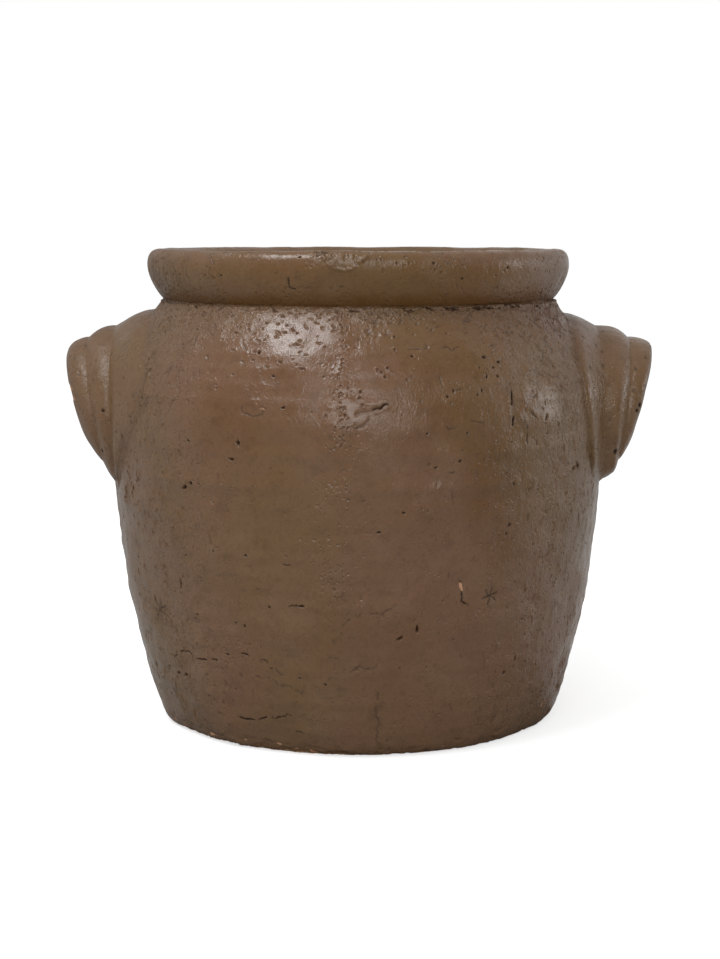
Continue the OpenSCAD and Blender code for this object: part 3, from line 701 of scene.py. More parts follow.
def refine(sec, NA, inside, passes, seed, coarse=1.0):
    """Newest-vertex bisection of a periodic grid until each edge is as short as the relief there wants."""
    NB = sec.nb
    ia, ib = np.meshgrid(np.arange(NA), np.arange(NB), indexing="ij")
    ia, ib = ia.ravel(), ib.ravel()
    vid = lambda x, y: (x % NA) * NB + (y % NB)
    v00, v10, v01, v11 = vid(ia, ib), vid(ia + 1, ib), vid(ia, ib + 1), vid(ia + 1, ib + 1)
    # newest vertex first, then the hypotenuse, counter-clockwise
    T = np.concatenate([np.stack([v10, v11, v00], 1), np.stack([v01, v00, v11], 1)])
    va, vb = np.repeat(np.arange(NA), NB).astype(float), np.tile(np.arange(NB), NA).astype(float)
    P, th, s, wo = surf(sec, va, vb, NA, seed)

    def mid(x, y, n):
        d = y - x
        d = d - n * np.round(d / n)
        return np.mod(x + d / 2, n)

    for it in range(passes):
        e1, e2 = T[:, 1], T[:, 2]
        L = np.linalg.norm(P[e1] - P[e2], axis=1)
        ma, mb = mid(va[e1], va[e2], NA), mid(vb[e1], vb[e2], NB)
        thm = (SEAM + ma * (TAU / NA) + math.pi) % TAU - math.pi
        segm = seg_of(sec, mb)
        vals = sec.at(mb, segm)
        w = want_at(sec, thm, vals[4], vals[5], inside)
        # also look at the quarter points towards the newest vertex
        qa, qb = mid(ma, va[T[:, 0]], NA), mid(mb, vb[T[:, 0]], NB)
        thq = (SEAM + qa * (TAU / NA) + math.pi) % TAU - math.pi
        vq = sec.at(qb, seg_of(sec, qb))
        w = np.minimum(w, want_at(sec, thq, vq[4], vq[5], inside))
        mark_t = L > w * coarse * 1.2
        if not mark_t.any():
            break
        n = len(P)
        edges = np.stack([np.stack([T[:, 1], T[:, 2]], 1), np.stack([T[:, 2], T[:, 0]], 1), np.stack([T[:, 0], T[:, 1]], 1)], 1)  # (t, 3, 2)
        lo, hi = edges.min(2), edges.max(2)
        key = lo * np.int64(n) + hi
        uniq, inv = np.unique(key, return_inverse=True)
        inv = inv.reshape(key.shape)
        marked = np.zeros(len(uniq), bool)
        marked[inv[mark_t, 0]] = True
        while True:
            need = marked[inv].any(1) & ~marked[inv[:, 0]]
            if not need.any():
                break
            marked[inv[need, 0]] = True
        mk = np.flatnonzero(marked)
        u1, u2 = uniq[mk] // n, uniq[mk] % n
        na, nb = mid(va[u1], va[u2], NA), mid(vb[u1], vb[u2], NB)
        newid = np.full(len(uniq), -1, np.int64)
        newid[mk] = n + np.arange(len(mk))
        va, vb = np.concatenate([va, na]), np.concatenate([vb, nb])
        Pn, thn, sn, won = surf(sec, na, nb, NA, seed)
        P, th, s, wo = np.concatenate([P, Pn]), np.concatenate([th, thn]), np.concatenate([s, sn]), np.concatenate([wo, won])
        m0, m1, m2 = newid[inv[:, 0]], newid[inv[:, 1]], newid[inv[:, 2]]  # on (1,2), (2,0), (0,1)
        keep = m0 < 0
        parts = [T[keep]]
        t, a0, a1, a2 = T[~keep], m0[~keep], m1[~keep], m2[~keep]
        # child (m, 0, 1) has refinement edge (0,1): maybe split at a2; child (m, 2, 0) has refinement edge (2,0): maybe split at a1
        c1, c2 = np.stack([a0, t[:, 0], t[:, 1]], 1), np.stack([a0, t[:, 2], t[:, 0]], 1)
        for c, a in ((c1, a2), (c2, a1)):
            no = a < 0
            parts.append(c[no])
            y, m = c[~no], a[~no]
            parts += [np.stack([m, y[:, 0], y[:, 1]], 1), np.stack([m, y[:, 2], y[:, 0]], 1)]
        T = np.concatenate(parts)
    return T, va, vb, P, th, s, wo


def poly_cap(idx, r, z, flip):
    """Triangles that close a flat section whose corners are the vertices idx."""
    tris = geometry.tessellate_polygon([[Vector((float(a), float(b), 0.0)) for a, b in zip(r, z)]])
    t = np.array(tris, int)
    x, y = r[t], z[t]
    area = (x[:, 1] - x[:, 0]) * (y[:, 2] - y[:, 0]) - (x[:, 2] - x[:, 0]) * (y[:, 1] - y[:, 0])
    t = t[np.abs(area) > 1e-12]
    area = area[np.abs(area) > 1e-12]
    t[area < 0] = t[area < 0][:, ::-1]
    if flip:
        t = t[:, ::-1]
    return idx[t]


def surface_attrs(th, s, wo, P, base_bare=0.0, inside_bare=0.0):
    g = np.where(wo > 0.5, sample(hollow_dirt_and_shade, th, s), 0.0)
    b = np.where(wo > 0.5, sample(bare, th, s), inside_bare)
    k = np.where(wo > 0.5, sample(fine_grit, th, s), 0.35)
    t = np.where(wo > 0.5, sample(tint, th, s), 0.0)
    return {"hollow_dirt_and_shade": np.clip(g, 0, 1), "bare": np.clip(np.maximum(b, base_bare), 0, 1), "grit": k, "tint": t}


def side_mesh(name, T, P, N, attrs):
    used = np.unique(T)
    remap = np.full(len(P), -1, np.int64)
    remap[used] = np.arange(len(used))
    return make_mesh(name, P[used], remap[T], N[used], {k: v[used] for k, v in attrs.items()})


COARSE = 1.0
NA = 128
wall = Section([
    (np.array([[SLAB_R, 0.0], FOOT_IN]), 1, "joint", 0, 0),
    (seg_foot, 2, "out", 0.0, S_FOOT),
    (seg_low, 24, "out", S_FOOT, S_BELLY),
    (seg_high, 12, "out", S_BELLY, S_NECK),
    (np.array([NECK, IN_NECK]), 2, "joint", 0, 0),
    (seg_in1, 10, "in", 0, 0),
    (seg_in2, 17, "in", 0, 0),
    (np.array([IN_COIL, IN_LOW, [SLAB_R, 0.0]]), 3, "joint", 0, 0)])
T, va, vb, P, th, s, wo = refine(wall, NA, 5.5, 10, 100, COARSE)
# the slab's edge meets the wall's foot: keep that ring where it is
P[:, 2] = np.maximum(P[:, 2], 0.0)
fb = vb[T]
span = fb.max(1) - fb.min(1)
fmid = np.where(span > wall.nb / 2, 0.0, fb.mean(1))
hidden = ((fmid > wall.ends[3]) & (fmid < wall.ends[4])) | (fmid > wall.ends[6]) | (fmid < wall.ends[0])
N = vertex_normals(P, T, (~hidden) * 1.0 + hidden * 1e-4)
inside_v = (vb > wall.ends[4]) & (vb < wall.ends[6])
depth_in = sstep(NECK_Z - P[:, 2], 18.0, 60.0)
attrs = surface_attrs(th, s, wo, P, 0.0, 0.0)
attrs["bare"] = np.where(inside_v, depth_in, attrs["bare"])
attrs["bare"] = np.where((vb <= 1.0) | (vb > wall.ends[6]), 1.0, attrs["bare"])
under = (1 - sstep(s, 0.5, 5.0)) * (wo > 0.5)
attrs["bare"] = np.maximum(attrs["bare"], under)
fa = va[T]
spa = fa.max(1) - fa.min(1)
fa = np.where((spa > NA / 2)[:, None] & (fa < NA / 2), fa + NA, fa)
in_first = fa.mean(1) < NA / 2
pieces = {}
for name, sel, edge_lo, edge_hi in (("right_wall_half", in_first, 0.0, NA / 2.0), ("left_wall_half", ~in_first, NA / 2.0, 0.0)):
    caps = []
    for edge, flip in ((edge_lo, False), (edge_hi, True)):
        idx = np.flatnonzero(np.abs(va - edge) < 1e-9)
        idx = idx[np.argsort(vb[idx])]
        caps.append(poly_cap(idx, np.hypot(P[idx, 0], P[idx, 1]), P[idx, 2], flip))
    Tn = np.vstack([T[sel]] + caps)
    pieces[name] = side_mesh("pot_" + name, Tn, P, N, attrs)
    print("MESH", name, len(Tn))

rim = Section([
    (seg_rim1, 4, "out", S_NECK, S_RIMOUT),
    (seg_rim2, 2, "out", S_RIMOUT, S_CREST),
    (seg_rim3, 4, "out", S_CREST, S_RIMIN),
    (seg_rim4, 2, "out", S_RIMIN, S_END),
    (np.array([IN_NECK, NECK]), 2, "joint", 0, 0)])
T, va, vb, P, th, s, wo = refine(rim, NA, 6.0, 10, 200, COARSE)
fb = vb[T]
span = fb.max(1) - fb.min(1)
fmid = np.where(span > rim.nb / 2, rim.nb - 0.5, fb.mean(1))
hidden = fmid > rim.ends[3]
N = vertex_normals(P, T, (~hidden) * 1.0 + hidden * 1e-4)
attrs = surface_attrs(th, s, wo, P)
pieces["rim_coil"] = side_mesh("pot_rim_coil", T, P, N, attrs)
print("MESH rim", len(T))

# slab, corner coil and seam coils: plain worked clay
slab = Section([
    (np.array([[DRAIN_R, 0.0], [SLAB_R, 0.0]]), 12, "joint", 0, 0),
    (np.array([[SLAB_R, 0.0], [SLAB_R, SLAB_T]]), 2, "joint", 0, 0),
    (np.array([[SLAB_R, SLAB_T], [DRAIN_R + 2.0, SLAB_T]]), 12, "in", 0, 0),
    (np.array([[DRAIN_R + 2.0, SLAB_T], [DRAIN_R + 0.6, SLAB_T - 0.7], [DRAIN_R, SLAB_T - 2.0], [DRAIN_R, 0.0]]), 3, "joint", 0, 0)])
T, va, vb, P, th, s, wo = refine(slab, NA, 4.5, 8, 300, COARSE)
pieces["base_slab"] = make_mesh("pot_base_slab", P, T, None, {"bare": np.ones(len(P)), "hollow_dirt_and_shade": np.zeros(len(P)), "grit": np.full(len(P), 0.5)})
print("MESH slab", len(T))
coil_face = bez(IN_COIL, IN_COIL - A(3, 7), IN_LOW - A(7, -1.5), IN_LOW - A(12, 0), 60)
coil = Section([
    (coil_face, 4, "in", 0, 0),
    (np.array([IN_LOW - A(12, 0), IN_LOW]), 3, "joint", 0, 0),
    (np.array([IN_LOW, IN_COIL]), 3, "joint", 0, 0)])
T, va, vb, P, th, s, wo = refine(coil, NA, 3.5, 8, 310, COARSE)


def volume(V, F):
    a, b, c = V[F[:, 0]], V[F[:, 1]], V[F[:, 2]]
    v = np.einsum("ij,ij->", a, np.cross(b, c))
    if F.shape[1] == 4:
        v += np.einsum("ij,ij->", a, np.cross(c, V[F[:, 3]]))
    return v / 6.0


def outwards(V, F):
    return F if volume(V, F) > 0 else F[:, ::-1]


T = outwards(P, T)
pieces["base_corner_coil"] = make_mesh("pot_base_corner_coil", P, T, None, {"bare": np.ones(len(P)), "hollow_dirt_and_shade": np.zeros(len(P)), "grit": np.full(len(P), 0.6)})
print("MESH coil", len(T))

# the strips over the seams inside: lens-shaped ribbons on the inner wall
inner_line = np.vstack([seg_in2[::-1], seg_in1[::-1][1:]])
il = np.concatenate([[0], np.cumsum(np.hypot(*np.diff(inner_line, axis=0).T))])
for name, mid_th, seed in (("front_seam_coil", SEAM, 500), ("back_seam_coil", SEAM + math.pi, 510)):
    nu, nv = 22, 190
    t = np.linspace(0, il[-1] - 30.0, nv)
    r, z = np.interp(t, il, inner_line[:, 0]), np.interp(t, il, inner_line[:, 1])
    gr, gz = np.gradient(r, t), np.gradient(z, t)
    U, V_ = np.meshgrid(np.linspace(-1, 1, nu), np.arange(nv), indexing="ij")
    half = math.radians(4.5) * (0.88 + 0.1 * np.sin(V_ * 0.13 + seed) + 0.02 * np.sin(V_ * 0.41))
    TH2 = mid_th + U * half
    end = np.sin(np.pi * np.clip(V_ / (nv - 1.0), 0, 1)) ** 0.35
    base = np.stack([r[V_] * np.cos(TH2), r[V_] * np.sin(TH2), z[V_]], -1).reshape(-1, 3)
    nn = np.stack([-gz[V_] * np.cos(TH2), -gz[V_] * np.sin(TH2), gr[V_]], -1).reshape(-1, 3)
    thick = (2.7 * np.sqrt(np.clip(1 - U ** 2, 0, 1)) * end).ravel()
    thick = thick * (1 + 0.16 * vnoise(base, 14.0, seed) + 0.07 * vnoise(base, 4.0, seed + 1))
    top = base + nn * thick[:, None]
    gid = np.arange(nu * nv).reshape(nu, nv)
    rim_v = np.zeros((nu, nv), bool)
    rim_v[0], rim_v[-1], rim_v[:, 0], rim_v[:, -1] = True, True, True, True
    low = np.full(nu * nv, -1)
    inn = np.flatnonzero(~rim_v.ravel())
    low[inn] = nu * nv + np.arange(len(inn))
    low[rim_v.ravel()] = gid.ravel()[rim_v.ravel()]
    PP = np.vstack([top, (base - nn * 0.5)[inn]])
    q = np.stack([gid[:-1, :-1], gid[1:, :-1], gid[1:, 1:], gid[:-1, 1:]], -1).reshape(-1, 4)
    F = np.vstack([q, low[q][:, ::-1]])
    F = outwards(PP, F)
    pieces[name] = make_mesh("pot_" + name, PP, F, None, {"bare": np.ones(len(PP)), "hollow_dirt_and_shade": np.zeros(len(PP)), "grit": np.full(len(PP), 0.6)})

# ---------------------------------------------------------------- lugs, from a distance field blended into the wall


def smax(a, b, k):
    h = np.maximum(k - np.abs(a - b), 0.0) / k
    return np.maximum(a, b) + h * h * k * 0.25


def smin(a, b, k):
    return -smax(-a, -b, k)


wz = o_z[wall_sel]
wr, wnr = o_r[wall_sel], o_nr[wall_sel]


def wall_field(x, y, z, side):
    """Distance outside the wall's finished skin (negative inside the clay)."""
    r = np.hypot(x, y)
    th = np.arctan2(y, x * side)
    s = np.interp(z, wz, s_dense[wall_sel])
    R, c = np.interp(z, wz, wr), np.interp(z, wz, wnr)
    return (r - R) * c - sample(H, th, s)


ROOT = {1: A((-90, 46, 134.5), (-35, 58, 134.5), (-19, 63.8, 134.2), (4, 68.5, 130.5), (28, 70.0, 125.2), (44, 67.5, 123.7), (60, 63.5, 121.5), (90, 58.8, 120.5)),
        -1: A((-90, 44, 141.0), (-37, 54.2, 140.0), (-15, 61.3, 134.9), (0, 72.2, 128.5), (11, 79.8, 122.5), (20, 82.1, 118.5), (41, 72.0, 120.7), (60, 66.5, 121.0), (90, 60.5, 121.0))}


def rib_radius(xs, style, y, zr):
    """Outer radius of the ribbed arch: lip, two ribs and the root that was smeared out onto the wall."""
    v32, v21, tip = (142.6, 161.8, LIP_X + 1.2) if style > 0 else (145.2, 161.8, LIP_X + 2.4)
    phi = np.degrees(np.arctan2(zr, np.abs(y) + 1e-6))
    rt, xc = np.interp(phi, ROOT[style][:, 0], ROOT[style][:, 1]), np.interp(phi, ROOT[style][:, 0], ROOT[style][:, 2])
    t3 = np.clip((v32 - xs) / (v32 - xc), 0, 1)
    t2 = np.clip((xs - v32) / (v21 - v32), 0, 1)
    t1 = np.clip((xs - v21) / (tip - v21), 0, 1)
    R = np.where(xs < v32, 52.7 + (rt - 52.7) * t3, np.interp(xs, [v32, v21, tip], [52.7, 45.6, 42.4 if style > 0 else 39.5]))
    if style > 0:
        return R + (4.6 - 2.4 * np.clip(phi / 90, 0, 1) ** 1.4) * np.sin(np.pi * t3 ** (1.6 - 0.4 * np.clip(phi / 90, 0, 1))) ** 0.8 + 2.7 * np.sin(np.pi * t2 ** 1.3) ** 0.85 + 1.3 * np.sin(np.pi * t1 ** 0.9)
    return R + (2.6 + 0.4 * np.clip(phi / 90, 0, 1)) * np.sin(np.pi * t3 ** 1.2) ** 0.8 + 2.3 * np.sin(np.pi * t2 ** 0.95) ** 0.9 + 1.2 * np.sin(np.pi * t1 ** 0.6)


def lug_field(x, y, z, style):
    zr = z - LUG_Z
    root = 150.0 if style > 0 else 141.0
    c = np.clip(0.287 * (225.0 - z) / (176.0 - root), -0.35, 0.7)
    xs = np.where(x > root, (x - root * c) / (1 - c), x)
    rho = np.hypot(y, zr)
    outer_d = (rho - rib_radius(xs, style, y, zr)) * (0.93 if style > 0 else 0.88)
    hollow = np.hypot(y, np.maximum(zr, 0.0)) - 31.0 + 1.2 * np.sin((xs - 128) * 0.33)
    mouth = (x - (LIP_X + (0.6 if style > 0 else 2.0) - 0.287 * (225.0 - z)) - np.clip(z - 219, 0, 40) * 0.12) * 0.961
    bump = 2.0 * np.abs(np.sin(np.pi * np.clip((xs - 125.5) / 18.8, 0, 2.02)))
    foot = (x - 158.6) * 0.766 - (z - 166.5) * 0.643 - bump - (3.2 if style > 0 else 1.2)
    k = 4.0 if style > 0 else 9.5
    d = smax(outer_d, mouth, k)
    d = smax(d, foot, 4.5)
    return smax(d, -hollow, 5.0)


def lug_total(x, y, z, side, style, grow):
    dl = lug_field(x, y, z, style)
    dw = wall_field(x, y, z, side)
    # a fuller fillet on top of the left lug, a tighter crease on the right one
    k = 2.6 if style > 0 else 4.0 - 1.5 * np.clip((z - LUG_Z) / 60.0, 0, 1)
    blend_d = smin(dl, dw, k)
    return np.maximum(np.maximum(blend_d, -(dw + grow)), blend_d - dw + 0.035), dw


def surface_nets(F, org, h):
    neg = F < 0
    nx, ny, nz = F.shape
    cs = [(i, j, k) for i in (0, 1) for j in (0, 1) for k in (0, 1)]
    cnt = np.zeros((nx - 1, ny - 1, nz - 1), np.int8)
    for i, j, k in cs:
        cnt += neg[i:nx - 1 + i, j:ny - 1 + j, k:nz - 1 + k]
    act = (cnt > 0) & (cnt < 8)
    I = np.argwhere(act)
    vid = np.full(act.shape, -1, np.int64)
    vid[act] = np.arange(len(I))
    val = {c: F[I[:, 0] + c[0], I[:, 1] + c[1], I[:, 2] + c[2]] for c in cs}
    tot, num = np.zeros((len(I), 3)), np.zeros(len(I))
    for c in cs:
        for ax in range(3):
            if c[ax]:
                continue
            d = list(c)
            d[ax] = 1
            f0, f1 = val[c], val[tuple(d)]
            m = (f0 < 0) != (f1 < 0)
            t = f0[m] / (f0[m] - f1[m])
            p = np.tile(np.array(c, float), (m.sum(), 1))
            p[:, ax] += t
            tot[m] += p
            num[m] += 1
    V = org + (I + tot / num[:, None]) * h
    quads = []
    e = neg[:-1, 1:-1, 1:-1] != neg[1:, 1:-1, 1:-1]
    i, j, k = np.nonzero(e)
    j, k = j + 1, k + 1
    q = np.stack([vid[i, j - 1, k - 1], vid[i, j, k - 1], vid[i, j, k], vid[i, j - 1, k]], 1)
    f = ~neg[i, j, k]
    q[f] = q[f][:, ::-1]
    quads.append(q)
    e = neg[1:-1, :-1, 1:-1] != neg[1:-1, 1:, 1:-1]
    i, j, k = np.nonzero(e)
    i, k = i + 1, k + 1
    q = np.stack([vid[i - 1, j, k - 1], vid[i - 1, j, k], vid[i, j, k], vid[i, j, k - 1]], 1)
    f = ~neg[i, j, k]
    q[f] = q[f][:, ::-1]
    quads.append(q)
    e = neg[1:-1, 1:-1, :-1] != neg[1:-1, 1:-1, 1:]
    i, j, k = np.nonzero(e)
    i, j = i + 1, j + 1
    q = np.stack([vid[i - 1, j - 1, k], vid[i, j - 1, k], vid[i, j, k], vid[i - 1, j, k]], 1)
    f = ~neg[i, j, k]
    q[f] = q[f][:, ::-1]
    quads.append(q)
    return V, np.vstack(quads)


def build_lug(name, side, style, seed):
    h = 0.8
    org = A(108.0, -94.0, 120.0)
    n = [int(v / h) for v in (76.0, 188.0, 138.0)]
    gx, gy, gz = (org[a] + np.arange(n[a]) * h for a in range(3))
    F = np.empty(n, np.float32)
    for i in range(n[0]):
        X, Y, Z = np.full((n[1], n[2]), gx[i]), *np.meshgrid(gy, gz, indexing="ij")
        F[i] = lug_total(X.ravel(), Y.ravel(), Z.ravel(), side, style, 2.5)[0].reshape(n[1], n[2])
    V, Q = surface_nets(F, org, h)
    f = lambda p: lug_total(p[:, 0], p[:, 1], p[:, 2], side, style, 2.5)[0]
    for it in range(2):
        e = 0.12
        f0 = f(V)
        G = np.stack([(f(V + e * np.eye(3)[a]) - f(V - e * np.eye(3)[a])) / (2 * e) for a in range(3)], 1)
        g2 = np.maximum((G * G).sum(1), 0.05)
        step = np.clip(f0 / g2, -0.6 * h, 0.6 * h) * 0.8
        V = V - G * step[:, None]
    V[:, 0] *= side
    if side < 0:
        Q = Q[:, ::-1]
    Nv = vertex_normals(V, Q)
    dl = lug_field(V[:, 0] * side, V[:, 1], V[:, 2], style)
    dw = wall_field(V[:, 0] * side, V[:, 1], V[:, 2], side)
    own = sstep(dw, 0.3, 2.2)              # 0 where the fillet runs out on the wall
    # the lug's crease with the wall: a shallow groove whose dark line is painted shade
    groove = np.exp(-((np.abs(dl) + np.abs(dw)) / 1.7) ** 2) * sstep(vnoise(V, 16.0, seed + 4), -0.9, 0.2)
    g = np.random.default_rng(seed)
    disp = own * (0.32 * vnoise(V, 22.0, seed) + 0.16 * vnoise(V, 9.0, seed + 1) + 0.05 * vnoise(V, 4.2, seed + 2))
    disp -= 0.5 * groove
    # gr: darkness of the lug's dents, holes and crease, partly dirt, partly painted shade
    gr, br = 0.28 * groove, np.zeros(len(V))
    spots = V[g.integers(0, len(V), 170)]
    for p in spots:
        a = g.uniform(0.7, 1.25)
        dd = V - p
        near = np.flatnonzero((np.abs(dd) < 3 * a).all(1))
        q = np.linalg.norm(dd[near] * A(1, 1, g.uniform(0.5, 1.0)), axis=1) / a
        disp[near] -= g.uniform(0.15, 0.5) * np.exp(-(q ** 2.6)) * (own[near] > 0.02)
        gr[near] = np.maximum(gr[near], g.uniform(0.05, 0.5) * np.exp(-(q ** 4)))
    marks = ((156.0, -56.0, 160.0, 1.9, 1.0), (166.5, -44.5, 190.0, 1.7, 0.5), (163.5, -45.0, 187.0, 1.3, 0.5), (172.0, -37.0, 196.0, 1.3, 0.35)) if side > 0 else \
            ((-157.0, -50.0, 160.0, 1.3, 0.5), (-148.0, -53.5, 188.0, 1.2, 0.4))
    for mx, my, mz, a, dep in marks:
        j = np.argmin(((V - A(mx, my, mz)) ** 2).sum(1))
        q = np.linalg.norm(V - V[j], axis=1) / a
        disp -= dep * np.exp(-(q ** 2.6))
        gr = np.maximum(gr, np.exp(-(q ** 4)))
    # worn and chipped glaze along the lip's front edge
    nx, nm = Nv[:, 0] * side, -(0.287 * (225.0 - V[:, 2]) - (LIP_X - V[:, 0] * side))
    on_lip = gauss(nm, -1.6, 2.2)
    chip = on_lip * (vnoise(V, 4.0, seed + 7) + 0.6 * vnoise(V, 1.9, seed + 8))
    if side < 0:
        chip = chip * 0.25 * gauss(V[:, 2], 194.0, 12.0) * (V[:, 1] < 0) + 1.6 * np.exp(-(((V[:, 2] - 196.0 + 0.3 * (V[:, 0] + 166.0)) / 5.0) ** 2 + ((nm + 1.5 + 0.8 * np.sin(V[:, 2])) / 2.3) ** 2)) * (V[:, 1] < -15)
    else:
        chip = chip * (0.45 + 0.9 * gauss(V[:, 2], 182.0, 14.0) * (V[:, 1] < 0))
    br = sstep(chip, 0.42, 0.75)
    disp -= 0.35 * br
    V = V + Nv * disp[:, None]
    N = vertex_normals(V, Q)
    # over the fillet's edge take the wall's own dark pit marks, partly painted shade, and its grit
    th = np.arctan2(V[:, 1], V[:, 0])
    s = np.interp(V[:, 2], wz, s_dense[wall_sel])
    gr = np.maximum(gr, (1 - own) * sample(hollow_dirt_and_shade, th, s))
    grit = np.maximum(0.38 * own, (1 - own) * sample(fine_grit, th, s))
    ob = make_mesh("pot_" + name, V, Q, N, {"hollow_dirt_and_shade": gr, "bare": br, "grit": grit})
    print("MESH", name, len(Q) * 2)
    return ob


pieces["right_lug"] = build_lug("right_lug", 1, 1, 901)
pieces["left_lug"] = build_lug("left_lug", -1, -1, 902)

for node, ob in pieces.items():
    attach(ob, "root")
    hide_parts(node)

# ---------------------------------------------------------------- materials
mats = {}


def lin(c):
    return [((v / 255.0 + 0.055) / 1.055) ** 2.4 if v / 255.0 > 0.04045 else v / 255.0 / 12.92 for v in c]


class Tree:
    def __init__(self, name):
        self.m = bpy.data.materials.new(name)
        self.m.use_nodes = True
        self.t = self.m.node_tree
        self.t.nodes.clear()

    def n(self, kind, **kw):
        node = self.t.nodes.new(kind)
        for k, v in kw.items():
            if k.startswith("i_"):
                key = k[2:].replace("_", " ")
                node.inputs[int(key) if key.isdigit() else key].default_value = v
            else:
                setattr(node, k, v)
        return node

    def l(self, a, b):
        self.t.links.new(a, b)

    def noise(self, co, scale, detail=3.0, rough=0.5, dist=0.0):
        n = self.n("ShaderNodeTexNoise", noise_dimensions="3D")
        n.inputs["Scale"].default_value = scale
        n.inputs["Detail"].default_value = detail
        n.inputs["Roughness"].default_value = rough
        n.inputs["Distortion"].default_value = dist
        self.l(co, n.inputs["Vector"])
        return n.outputs["Fac"]

    def ramp(self, fac, stops):
        r = self.n("ShaderNodeValToRGB")
        e = r.color_ramp.elements
        while len(e) < len(stops):
            e.new(0.5)
        for q, (p, c) in zip(e, stops):
            q.position = p
            q.color = (*c, 1) if len(c) == 3 else c
        self.l(fac, r.inputs["Fac"])
        return r.outputs["Color"]

    def mix(self, fac, a, b, mode="MIX"):
        m = self.n("ShaderNodeMix", data_type="RGBA", blend_type=mode)
        for sock, v in ((m.inputs[0], fac), (m.inputs[6], a), (m.inputs[7], b)):
            if hasattr(v, "is_output"):
                self.l(v, sock)
            elif isinstance(v, (int, float)):
                sock.default_value = v
            else:
                sock.default_value = (*v, 1)
        return m.outputs[2]

    def math(self, op, a, b=None, c=None, clamp=False):
        m = self.n("ShaderNodeMath", operation=op, use_clamp=clamp)
        for i, v in enumerate((a, b, c)):
            if v is None:
                continue
            if hasattr(v, "is_output"):
                self.l(v, m.inputs[i])
            else:
                m.inputs[i].default_value = v
        return m.outputs[0]

    def attr(self, name):
        return self.n("ShaderNodeAttribute", attribute_name=name).outputs["Fac"]

    def map(self, v, a, b, c, d):
        m = self.n("ShaderNodeMapRange", interpolation_type="SMOOTHSTEP")
        self.l(v, m.inputs[0])
        for i, q in enumerate((a, b, c, d)):
            m.inputs[i + 1].default_value = q
        return m.outputs[0]


